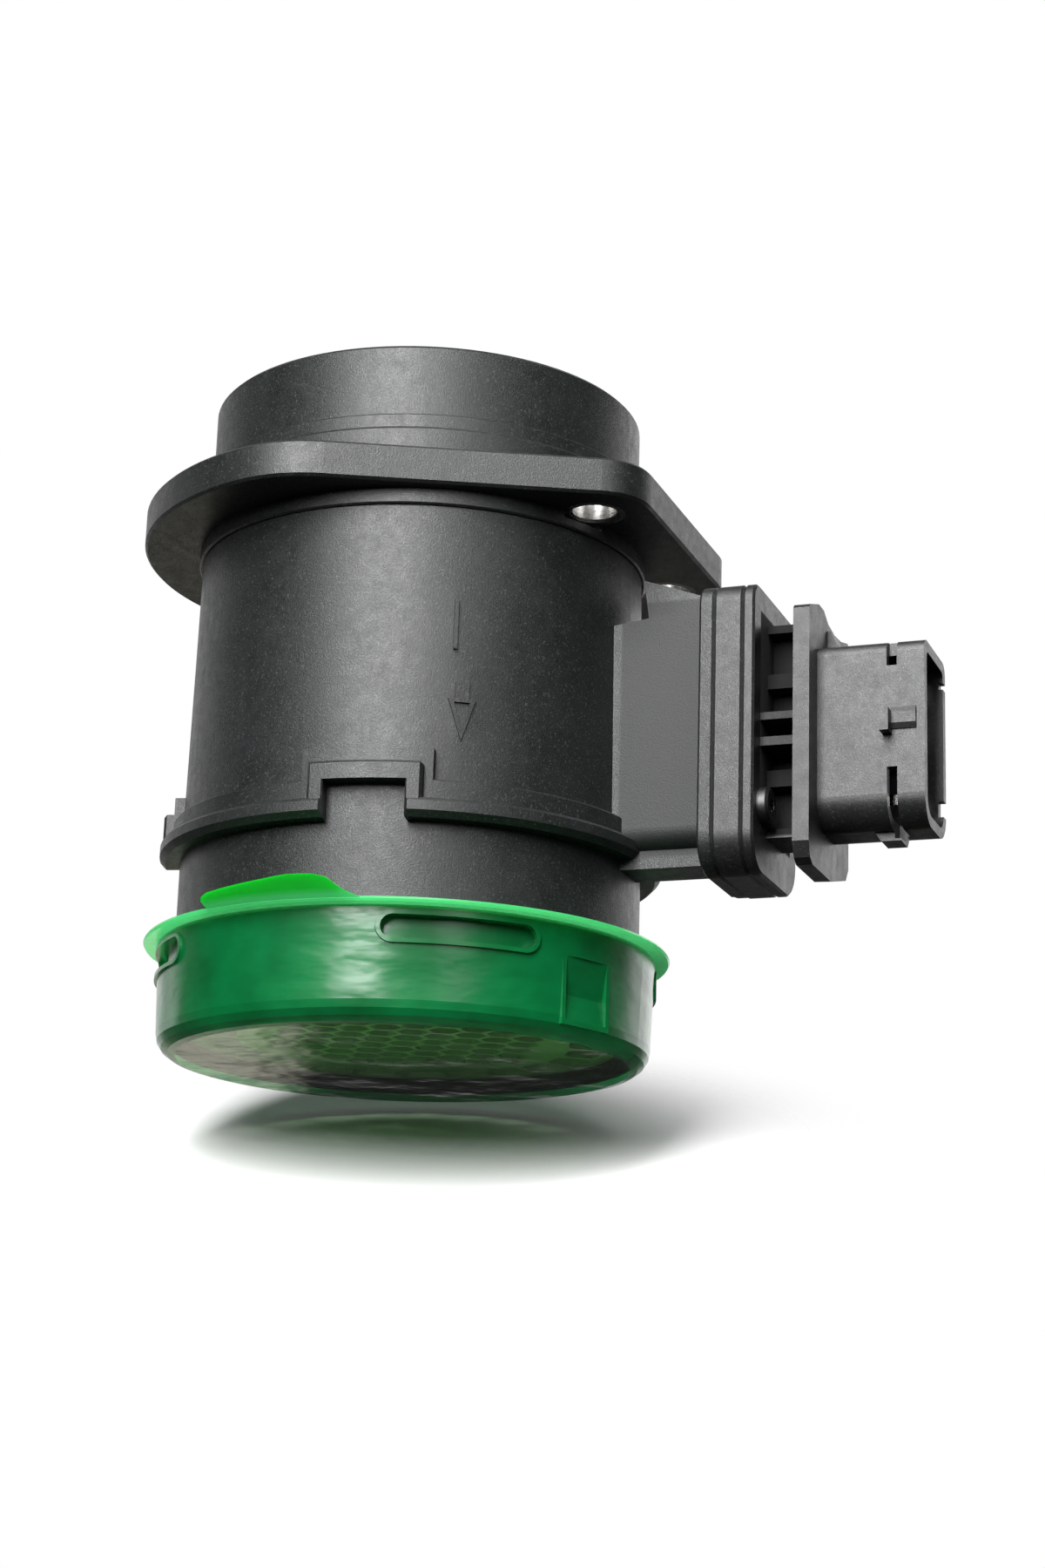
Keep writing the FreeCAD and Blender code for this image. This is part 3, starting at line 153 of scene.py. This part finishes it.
ROOM_GREY = 0.025
BACKDROP_WHITE = 1.0
BACKDROP_EDGE = (math.cos(math.radians(60.0)), math.cos(math.radians(38.0)))
BACKDROP_FOOT = (-0.16, 0.02)
BACKDROP_TURN = VIEW_TURN - math.radians(9.0)
TABLE_BEIGE = (0.92, 0.90, 0.74, 1.0)
TABLE_END = (0.066, 0.098)
TABLE_TOP = (0.08, 0.20)
TABLE_BACK = (0.78, 0.90)
WHITE = (1.0, 1.0, 1.0, 1.0)
WHITE_STRENGTH = 1.0

world = bpy.data.worlds.new("studio_room")
scene.world = world
world.use_nodes = True
room = world.node_tree
room.nodes.clear()
ray = room.nodes.new("ShaderNodeLightPath")
gaze = room.nodes.new("ShaderNodeTexCoord").outputs["Generated"]

to_back = toward(room, gaze, (-math.sin(BACKDROP_TURN), math.cos(BACKDROP_TURN), 0.0))
to_left = toward(room, gaze, (-math.cos(VIEW_TURN), -math.sin(VIEW_TURN), 0.0))
to_top = toward(room, gaze, (0.0, 0.0, 1.0))
to_ground = toward(room, gaze, (0.0, 0.0, -1.0))

wall = soft_edge(room, to_back, BACKDROP_EDGE)
card = worked_out(room, "MULTIPLY", wall, soft_edge(room, to_top, BACKDROP_FOOT))
dim = room.nodes.new("ShaderNodeBackground")
dim.inputs["Color"].default_value = WHITE
room.links.new(spread(room, card, 0.0, 1.0, ROOM_GREY, BACKDROP_WHITE), dim.inputs["Strength"])

left_part = soft_edge(room, to_left, TABLE_END)
corner = worked_out(room, "MULTIPLY", left_part, soft_edge(room, to_ground, TABLE_TOP))
table = worked_out(room, "MULTIPLY", corner, soft_edge(room, to_back, TABLE_BACK))
beige = room.nodes.new("ShaderNodeBackground")
beige.inputs["Color"].default_value = TABLE_BEIGE
room.links.new(table, beige.inputs["Strength"])
around = room.nodes.new("ShaderNodeAddShader")
room.links.new(dim.outputs["Background"], around.inputs[0])
room.links.new(beige.outputs["Background"], around.inputs[1])

white = room.nodes.new("ShaderNodeBackground")
white.inputs["Color"].default_value = WHITE
white.inputs["Strength"].default_value = WHITE_STRENGTH
seen = worked_out(room, "MAXIMUM", ray.outputs["Is Camera Ray"], ray.outputs["Is Transmission Ray"])
out = room.nodes.new("ShaderNodeOutputWorld")
shown = either(room, seen, around.outputs["Shader"], white.outputs["Background"])
room.links.new(shown, out.inputs["Surface"])
print("room nodes:", len(room.nodes))

# %% [markdown]
# ## The lamps
#
# Where the lamps stand matters more than their strength. One tall soft lamp stands
# to the left of the camera and draws the bright band down the duct. A weaker one
# stands to the right, one hangs above, and two stand behind for the far edges. A
# faint one under the foot lights the grille through the cap, and no reflection
# shows it.

# %% Place the lamps
# Each row has the turn from the camera and the rise in degrees, the distance, the
# width and the height in metres, and the power in watts.
LAMPS = {
    "key_lamp": (-19.5, 27.0, 0.75, 0.28, 0.62, 12.0),
    "side_lamp": (22.0, 18.0, 0.75, 0.20, 0.50, 0.9),
    "top_lamp": (3.5, 62.0, 0.70, 0.50, 0.40, 3.5),
    "edge_lamp": (-128.0, 8.0, 0.80, 0.16, 0.60, 0.45),
    "back_lamp": (143.0, 14.0, 0.80, 0.55, 0.60, 0.75),
}
OBJECT_MIDDLE = (0.01, 0.0, 0.05)
FOOT_LAMP = (0.0, -89.0, 0.0, 0.055, 0.045, 0.0018)
BELOW_FOOT = (0.002, -0.004, -0.0035)


def soft_lamp(name, row, aim):
    """A square lamp that looks at aim."""
    turn, rise, distance, width, height, watts = row
    turn = VIEW_TURN + math.radians(turn)
    rise = math.radians(rise)
    away = Vector((
        math.sin(turn) * math.cos(rise),
        -math.cos(turn) * math.cos(rise),
        math.sin(rise),
    ))
    lamp = bpy.data.lights.new(name, "AREA")
    lamp.shape = "RECTANGLE"
    lamp.size = width
    lamp.size_y = height
    lamp.energy = watts
    holder = bpy.data.objects.new(name, lamp)
    facing = (-away).to_track_quat("-Z", "Y").to_matrix().to_4x4()
    holder.matrix_world = Matrix.Translation(Vector(aim) + away * distance) @ facing
    scene.collection.objects.link(holder)
    return holder


for name, row in LAMPS.items():
    soft_lamp(name, row, OBJECT_MIDDLE)
under_foot = soft_lamp("foot_lamp", FOOT_LAMP, BELOW_FOOT)
under_foot.visible_glossy = False

# %% [markdown]
# ## The floor
#
# The camera is below the foot of the cap, so a level floor would hide the
# object. The pale floor leans toward the camera instead and passes just under
# the far edge of the foot. It is seen only from its upper side, no reflection
# shows it, and it fades into the white room, so all that shows of it is the soft
# shadow.

# %% Lay the floor
FLOOR_LEAN = math.radians(5.5)
FLOOR_GAP = 0.6 * MM
FLOOR_REACH = 0.30
FLOOR_CORNERS = 64
FOOT_EDGE = 36.5 * MM

floor_up = view_up * math.cos(FLOOR_LEAN) - looking * math.sin(FLOOR_LEAN)
floor_away = floor_up.cross(view_right)
level_away = Vector((looking.x, looking.y, 0.0)).normalized()
floor_touch = level_away * FOOT_EDGE - floor_up * FLOOR_GAP
floor_turned = Matrix((view_right, floor_away, floor_up)).transposed().to_4x4()

bpy.ops.object.select_all(action="DESELECT")
bpy.ops.mesh.primitive_circle_add(vertices=FLOOR_CORNERS, radius=FLOOR_REACH, fill_type="NGON")
floor = bpy.context.object
floor.name = "studio_floor"
floor.data.transform(Matrix.Translation(floor_touch) @ floor_turned)
print("floor leans", round(math.degrees(FLOOR_LEAN), 1), "degrees to the camera")

# %% [markdown]
# ## The paper on the floor
#
# A plain pale paper takes the shadow. It could be a large sheet, but its edge
# would show against the white room, so it turns clear from a few centimetres
# round the foot outwards.

# %% Make the paper
PAPER_WHITE = (0.93, 0.93, 0.93, 1.0)
PAPER_FADE = (0.030, 0.080)
PAPER_SHIFT = 0.02

paper = bpy.data.materials.new("pale_paper")
paper.use_nodes = True
sheet = paper.node_tree
sheet.nodes.clear()
place = sheet.nodes.new("ShaderNodeTexCoord")
middle = sheet.nodes.new("ShaderNodeVectorMath")
middle.operation = "DISTANCE"
middle.inputs[1].default_value = tuple(floor_touch - floor_away * PAPER_SHIFT)
sheet.links.new(place.outputs["Object"], middle.inputs[0])
faded = soft_edge(sheet, middle.outputs["Value"], PAPER_FADE)
side = sheet.nodes.new("ShaderNodeNewGeometry")
path = sheet.nodes.new("ShaderNodeLightPath")
clear = worked_out(sheet, "MAXIMUM", faded, side.outputs["Backfacing"])
unseen = worked_out(sheet, "MAXIMUM", clear, path.outputs["Is Glossy Ray"])
matt_paper = sheet.nodes.new("ShaderNodeBsdfDiffuse")
matt_paper.inputs["Color"].default_value = PAPER_WHITE
nothing = sheet.nodes.new("ShaderNodeBsdfTransparent")
sheet_out = sheet.nodes.new("ShaderNodeOutputMaterial")
covered = either(sheet, unseen, matt_paper.outputs["BSDF"], nothing.outputs["BSDF"])
sheet.links.new(covered, sheet_out.inputs["Surface"])
floor.data.materials.append(paper)
print("paper fades between", PAPER_FADE, "m")

# %% [markdown]
# ## Helpers for finishes
#
# A finish starts from one shader, a place on the object, and noise. Masks pick a
# part of a piece, so that one moulding can be rough here and smooth there without
# a picture wrapped round it.

# %% Helpers for finishes


def recipe(name):
    """A new material: itself, its tree, its shader and the place on the object."""
    material = bpy.data.materials.new(name)
    material.use_nodes = True
    tree = material.node_tree
    where = tree.nodes.new("ShaderNodeTexCoord")
    return material, tree, tree.nodes["Principled BSDF"], where.outputs["Object"]


def grain(tree, where, size, detail=2.0, rough=0.5):
    """Noise whose blobs are about size metres wide."""
    noise = tree.nodes.new("ShaderNodeTexNoise")
    noise.inputs["Scale"].default_value = 1.0 / size
    noise.inputs["Detail"].default_value = detail
    noise.inputs["Roughness"].default_value = rough
    tree.links.new(where, noise.inputs["Vector"])
    return noise.outputs["Fac"]


def squeezed(tree, where, scale):
    """Scales the place on the object, so that noise is drawn out."""
    stretch = tree.nodes.new("ShaderNodeMapping")
    stretch.inputs["Scale"].default_value = scale
    tree.links.new(where, stretch.inputs["Vector"])
    return stretch.outputs["Vector"]


def two_tone(tree, value, dark, light):
    """Mixes two colours by a value."""
    mix = tree.nodes.new("ShaderNodeMix")
    mix.data_type = "RGBA"
    mix.inputs["A"].default_value = (*dark, 1.0)
    mix.inputs["B"].default_value = (*light, 1.0)
    tree.links.new(value, mix.inputs["Factor"])
    return mix.outputs["Result"]


def lay_over(tree, below, colour, mask):
    """Lays a colour over another where the mask is 1."""
    mix = tree.nodes.new("ShaderNodeMix")
    mix.data_type = "RGBA"
    tree.links.new(mask, mix.inputs["Factor"])
    tree.links.new(below, mix.inputs["A"])
    mix.inputs["B"].default_value = (*colour, 1.0)
    return mix.outputs["Result"]


def inside(tree, where, low, high, soft=0.4 * MM):
    """Is 1 inside the box from low to high, and 0 outside it."""
    axes = tree.nodes.new("ShaderNodeSeparateXYZ")
    tree.links.new(where, axes.inputs["Vector"])
    mask = None
    for axis, near, far in zip("XYZ", low, high):
        place = axes.outputs[axis]
        past_near = spread(tree, place, near - soft / 2, near + soft / 2, 0.0, 1.0)
        before_far = spread(tree, place, far - soft / 2, far + soft / 2, 1.0, 0.0)
        between = worked_out(tree, "MULTIPLY", past_near, before_far)
        mask = worked_out(tree, "MULTIPLY", mask, between) if mask else between
    return mask


def relief(tree, shader, height, depth, strength=1.0):
    """Raises the surface by a height map, depth in metres."""
    bump = tree.nodes.new("ShaderNodeBump")
    bump.inputs["Strength"].default_value = strength
    bump.inputs["Distance"].default_value = depth
    tree.links.new(height, bump.inputs["Height"])
    tree.links.new(bump.outputs["Normal"], shader.inputs["Normal"])
    return bump


def dress(node, material):
    """Gives a CAD node its finish."""
    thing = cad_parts[node]
    thing.data.materials.clear()
    thing.data.materials.append(material)


print("helpers for finishes: 8")

# %% [markdown]
# ## Black moulded plastic
#
# The duct and the plug-in unit are glass-filled nylon from a spark-eroded mould.
# That leaves a fine, even grain which breaks the lamp's reflection into sparkle.
# A bump of fine noise does it. Paler flecks, a little larger than the grain, are
# painted glints that also stand for fibres at the surface. Wider noise moves the
# tone and the roughness a little, because a flat grey would look like paint.

# %% Write the recipe of the moulded plastics
CLOUD_SIZE = 9 * MM
MOTTLE_SIZE = 2.0 * MM
FLECK_TO_GRAIN = 1.6
FLECK_GAIN = 3.2
MOULDED_SPECULAR = 0.62


def moulded_plastic(name, dark, light, rough, grain_size, grain_depth, patch):
    """Moulded plastic. A patch is a box, its roughness and its colour, for a part of the piece."""
    material, tree, shader, where = recipe(name)
    cloud = grain(tree, where, CLOUD_SIZE, 3.0)
    fine = grain(tree, where, grain_size, 3.0, 0.7)
    fleck = grain(tree, where, grain_size * FLECK_TO_GRAIN, 1.0)
    mottle = grain(tree, where, MOTTLE_SIZE, 4.0, 0.65)
    tone = two_tone(tree, spread(tree, cloud, 0.35, 0.65, 0.0, 1.0), dark, light)
    # The paler flecks are painted glints, which also stand for fibres at the surface.
    painted_glint_fleck = tuple(min(1.0, c * FLECK_GAIN) for c in light)
    colour = lay_over(tree, tone, painted_glint_fleck, spread(tree, fleck, 0.60, 0.74, 0.0, 1.0))
    base = spread(tree, fine, 0.3, 0.7, rough - 0.10, rough + 0.08)
    worn = worked_out(tree, "ADD", base, spread(tree, mottle, 0.3, 0.7, -0.06, 0.06))
    low, high, patch_rough, patch_tone = patch
    mask = inside(tree, where, low, high)
    change = tree.nodes.new("ShaderNodeMix")
    tree.links.new(mask, change.inputs["Factor"])
    tree.links.new(worn, change.inputs["A"])
    change.inputs["B"].default_value = patch_rough
    tree.links.new(lay_over(tree, colour, patch_tone, mask), shader.inputs["Base Color"])
    tree.links.new(change.outputs["Result"], shader.inputs["Roughness"])
    shader.inputs["Specular IOR Level"].default_value = MOULDED_SPECULAR
    relief(tree, shader, fine, grain_depth)
    return material


print("clouds", CLOUD_SIZE / MM, "mm, mottle", MOTTLE_SIZE / MM, "mm")

# %% [markdown]
# ## The black pieces and the grille
#
# A patch changes the finish inside a box: the neck is more matt, and the middle of
# the gap between the plates is painted nearly black, as painted shade in the recess.
# The lowest part of the grille is painted pale green, as painted light from the cap
# falling on it, so that the honeycomb shows through the cap, and the rest of it is black.

# %% Dress the black pieces and the grille
DUCT_BLACK = ((0.006, 0.0072, 0.0070), (0.010, 0.0120, 0.0116))
UNIT_BLACK = ((0.007, 0.0075, 0.0075), (0.012, 0.0125, 0.0125))
NECK = ((0.0352, -0.0075, 0.029), (0.0488, 0.0075, 0.068), 0.58, (0.007, 0.0082, 0.008))
# The middle of the gap between the plates is painted near black: painted shade in the recess.
GAP_PAINTED_SHADE = ((0.0530, -0.0085, 0.031), (0.0629, 0.0085, 0.064), 0.95, (0.001, 0.001, 0.001))
# The pale green low on the grille is painted light: the green light through the cap, painted on black
# plastic.
COMB_PAINTED_LIGHT = ((-0.036, -0.036, 0.0), (0.036, 0.036, 0.0058), 0.5, (0.21, 0.32, 0.16))

black_plastic = moulded_plastic("black_moulded", *DUCT_BLACK, 0.46, 0.24 * MM, 0.055 * MM, NECK)
carrier_plastic = moulded_plastic("carrier_moulded", *UNIT_BLACK, 0.44, 0.20 * MM, 0.030 * MM, GAP_PAINTED_SHADE)
grille_plastic = moulded_plastic("grille_moulded", *DUCT_BLACK, 0.5, 0.30 * MM, 0.02 * MM, COMB_PAINTED_LIGHT)
dress("tube_housing", black_plastic)
for node in ("sensor_carrier", "adapter_frame", "electronics_cover", "bypass_cover"):
    dress(node, carrier_plastic)
dress("inlet_grille", grille_plastic)
print("moulded finishes:", black_plastic.name, carrier_plastic.name, grille_plastic.name)

# %% [markdown]
# ## Where on the cap
#
# The cap is one moulding, but its flat foot, its lip and its tab look different
# from its wall. The height picks the lip and the tab, and the foot is a disc, low
# down and within a radius.

# %% Mark the foot, the lip and the tab
FOOT_TOP = 1.35 * MM
FOOT_RADIUS = 34.3 * MM
LIP_FOOT = 15.7 * MM
TAB_FOOT = 17.1 * MM

cap_green, cap, cap_shader, where = recipe("cap_green")
level = cap.nodes.new("ShaderNodeSeparateXYZ")
cap.links.new(where, level.inputs["Vector"])
height = level.outputs["Z"]
flat = cap.nodes.new("ShaderNodeVectorMath")
flat.operation = "MULTIPLY"
flat.inputs[1].default_value = (1.0, 1.0, 0.0)
cap.links.new(where, flat.inputs[0])
from_axis = cap.nodes.new("ShaderNodeVectorMath")
from_axis.operation = "LENGTH"
cap.links.new(flat.outputs["Vector"], from_axis.inputs[0])
low_down = spread(cap, height, FOOT_TOP - 0.1 * MM, FOOT_TOP, 1.0, 0.0)
within = spread(cap, from_axis.outputs["Value"], FOOT_RADIUS - 0.5 * MM, FOOT_RADIUS, 1.0, 0.0)
on_foot = worked_out(cap, "MULTIPLY", low_down, within)
on_lip = spread(cap, height, LIP_FOOT, LIP_FOOT + 0.4 * MM, 0.0, 1.0)
on_tab = spread(cap, height, TAB_FOOT, TAB_FOOT + 0.8 * MM, 0.0, 1.0)
print("foot to", round(FOOT_TOP / MM, 2), "mm, lip from", round(LIP_FOOT / MM, 1), "mm")

# %% [markdown]
# ## The green plastic
#
# The cap is soft polyethylene, thin enough to see through. Light goes into it,
# takes the green, and shows the dark duct behind. Clear plastic with a rough
# inside would need many samples, so a part of the light passes straight through
# a tinted layer and the rest meets green plastic that also glows from behind. The
# flat foot lets most of the light through, so that the honeycomb shows. The lip
# and the tab stand free, with light on both sides, so they glow more, and their
# paler colour is painted light.

# %% Mix the green plastic
WALL_GREEN = ((0.0, 0.15, 0.036), (0.001, 0.25, 0.066))
# The paler lip and tab greens are painted light: light that comes through the thin plastic.
LIP_GREEN_PAINTED_LIGHT = (0.12, 0.71, 0.27)
TAB_GREEN_PAINTED_LIGHT = (0.025, 0.58, 0.07)
FOOT_GREEN = (0.035, 0.10, 0.040)
LIP_GLOW = (0.28, 0.79, 0.43)
TAB_GLOW = (0.04, 0.74, 0.07)
FOOT_GLOW = (0.01, 0.10, 0.03)
WALL_TINT = (0.12, 0.80, 0.36)
SHADOW_TINT = (0.45, 0.45, 0.45)
FOOT_TINT = (0.80, 1.0, 0.78)
GLOW_SHARE = (0.35, 0.75)
CLEAR_SHARE = (0.22, 0.92)

cloud = grain(cap, where, 12 * MM, 3.0)
tone = two_tone(cap, spread(cap, cloud, 0.35, 0.65, 0.0, 1.0), *WALL_GREEN)
for colour, mask in ((LIP_GREEN_PAINTED_LIGHT, on_lip), (TAB_GREEN_PAINTED_LIGHT, on_tab), (FOOT_GREEN, on_foot)):
    tone = lay_over(cap, tone, colour, mask)
cap.links.new(tone, cap_shader.inputs["Base Color"])
cap_shader.inputs["Roughness"].default_value = 0.45
cap_shader.inputs["Specular IOR Level"].default_value = 0.2
ripple = grain(cap, squeezed(cap, where, (1.0, 1.0, 2.6)), 13 * MM, 3.0, 0.45)
waves = relief(cap, cap_shader, ripple, 0.8 * MM, 0.5)

lit = tone
for colour, mask in ((LIP_GLOW, on_lip), (TAB_GLOW, on_tab), (FOOT_GLOW, on_foot)):
    lit = lay_over(cap, lit, colour, mask)
glow = cap.nodes.new("ShaderNodeBsdfTranslucent")
cap.links.new(lit, glow.inputs["Color"])
glow_part = spread(cap, on_lip, 0.0, 1.0, *GLOW_SHARE)
inner = either(cap, glow_part, cap_shader.outputs["BSDF"], glow.outputs["BSDF"])

path = cap.nodes.new("ShaderNodeLightPath")
tint = two_tone(cap, path.outputs["Is Shadow Ray"], WALL_TINT, SHADOW_TINT)
through = cap.nodes.new("ShaderNodeBsdfTransparent")
cap.links.new(lay_over(cap, tint, FOOT_TINT, on_foot), through.inputs["Color"])
clear_part = spread(cap, on_foot, 0.0, 1.0, *CLEAR_SHARE)
film = either(cap, clear_part, inner, through.outputs["BSDF"])
print("light straight through:", CLEAR_SHARE[0], "on the wall,", CLEAR_SHARE[1], "on the foot")

# %% [markdown]
# ## The gloss on the cap
#
# A gloss lies over the green, stronger the flatter one looks along the surface. It
# is only on the outer side of each face, because a gloss on the inner sides would
# hide what lies behind them.

# %% Polish the cap
PLASTIC_IOR = 1.46
GLOSS_ROUGH = (0.26, 0.07)

gloss = cap.nodes.new("ShaderNodeBsdfGlossy")
cap.links.new(spread(cap, on_foot, 0.0, 1.0, *GLOSS_ROUGH), gloss.inputs["Roughness"])
facing = cap.nodes.new("ShaderNodeFresnel")
facing.inputs["IOR"].default_value = PLASTIC_IOR
for part in (gloss, facing):
    cap.links.new(waves.outputs["Normal"], part.inputs["Normal"])
side = cap.nodes.new("ShaderNodeNewGeometry")
outer = spread(cap, side.outputs["Backfacing"], 0.0, 1.0, 1.0, 0.0)
mirror = worked_out(cap, "MULTIPLY", facing.outputs["Fac"], outer)
polish = either(cap, mirror, film, gloss.outputs["BSDF"])
cap.links.new(polish, cap.nodes["Material Output"].inputs["Surface"])
dress("dust_cap", cap_green)
print("cap nodes:", len(cap.nodes))

# %% [markdown]
# ## Metal
#
# The bushes are turned steel with fine rings from the tool, the screws are plated,
# and the terminals are tinned. Noise pressed flat along the axis gives the rings
# and moves the roughness with them.

# %% Dress the metal pieces


def metal(name, colour, rough, scratch_size, scratch_depth):
    """Bare metal with fine lines round the upright axis."""
    material, tree, shader, where = recipe(name)
    lines = grain(tree, squeezed(tree, where, (1.0, 1.0, 8.0)), scratch_size, 3.0, 0.6)
    darker = tuple(c * 0.75 for c in colour)
    tree.links.new(two_tone(tree, lines, darker, colour), shader.inputs["Base Color"])
    shader.inputs["Metallic"].default_value = 1.0
    tree.links.new(spread(tree, lines, 0.3, 0.7, rough - 0.06, rough + 0.08), shader.inputs["Roughness"])
    relief(tree, shader, lines, scratch_depth)
    return material


steel = metal("turned_steel", (0.62, 0.61, 0.59), 0.30, 1.2 * MM, 0.01 * MM)
zinc = metal("black_zinc", (0.10, 0.10, 0.10), 0.42, 0.6 * MM, 0.008 * MM)
tinned = metal("tinned_brass", (0.78, 0.76, 0.70), 0.24, 0.8 * MM, 0.006 * MM)
rolled = metal("rolled_plate", (0.70, 0.71, 0.72), 0.34, 1.5 * MM, 0.008 * MM)
for node in ("flange_bush_near", "flange_bush_far", "temperature_leads"):
    dress(node, steel)
dress("sensor_screws", zinc)
for i in range(1, 6):
    dress("terminal_%d" % i, tinned)
dress("base_plate", rolled)
print("metals:", steel.name, zinc.name, tinned.name, rolled.name)

# %% [markdown]
# ## The inner pieces
#
# What sits inside the blade is hidden, but each piece still gets its own finish,
# because the model is also looked at in parts. Ceramic, rubber and chip plastic
# differ in tone, in roughness and in the size of their spots.

# %% Dress the inner pieces
# Each row has the finish, its dark and light colour, its roughness, and the size
# and the depth of its spots in millimetres.
INNER = {
    "seal_ring": ("seal_rubber", (0.012, 0.012, 0.012), (0.02, 0.02, 0.02), 0.7, 0.5, 0.02),
    "circuit_board": ("board_ceramic", (0.55, 0.55, 0.52), (0.72, 0.72, 0.69), 0.55, 1.2, 0.01),
    "signal_processor": ("chip_black", (0.012, 0.012, 0.014), (0.02, 0.02, 0.022), 0.5, 0.3, 0.01),
    "chip_capacitors": ("capacitor_tan", (0.30, 0.19, 0.10), (0.45, 0.32, 0.20), 0.45, 0.5, 0.01),
    "flow_chip": ("chip_glass_blue", (0.03, 0.04, 0.07), (0.06, 0.08, 0.13), 0.12, 0.4, 0.002),
    "chip_holder": ("holder_plastic", (0.02, 0.02, 0.02), (0.03, 0.03, 0.03), 0.5, 0.4, 0.02),
    "temperature_bead": ("bead_glass", (0.05, 0.02, 0.01), (0.10, 0.04, 0.02), 0.2, 0.5, 0.01),
}


def spotted(name, dark, light, rough, size, depth):
    """A plain finish with soft spots, their size and depth in millimetres."""
    material, tree, shader, where = recipe(name)
    spots = grain(tree, where, size * MM, 3.0)
    tone = two_tone(tree, spread(tree, spots, 0.35, 0.65, 0.0, 1.0), dark, light)
    tree.links.new(tone, shader.inputs["Base Color"])
    tree.links.new(spread(tree, spots, 0.3, 0.7, rough - 0.05, rough + 0.05), shader.inputs["Roughness"])
    relief(tree, shader, spots, depth * MM)
    return material


for node, row in INNER.items():
    dress(node, spotted(*row))
print("inner pieces dressed:", len(INNER))
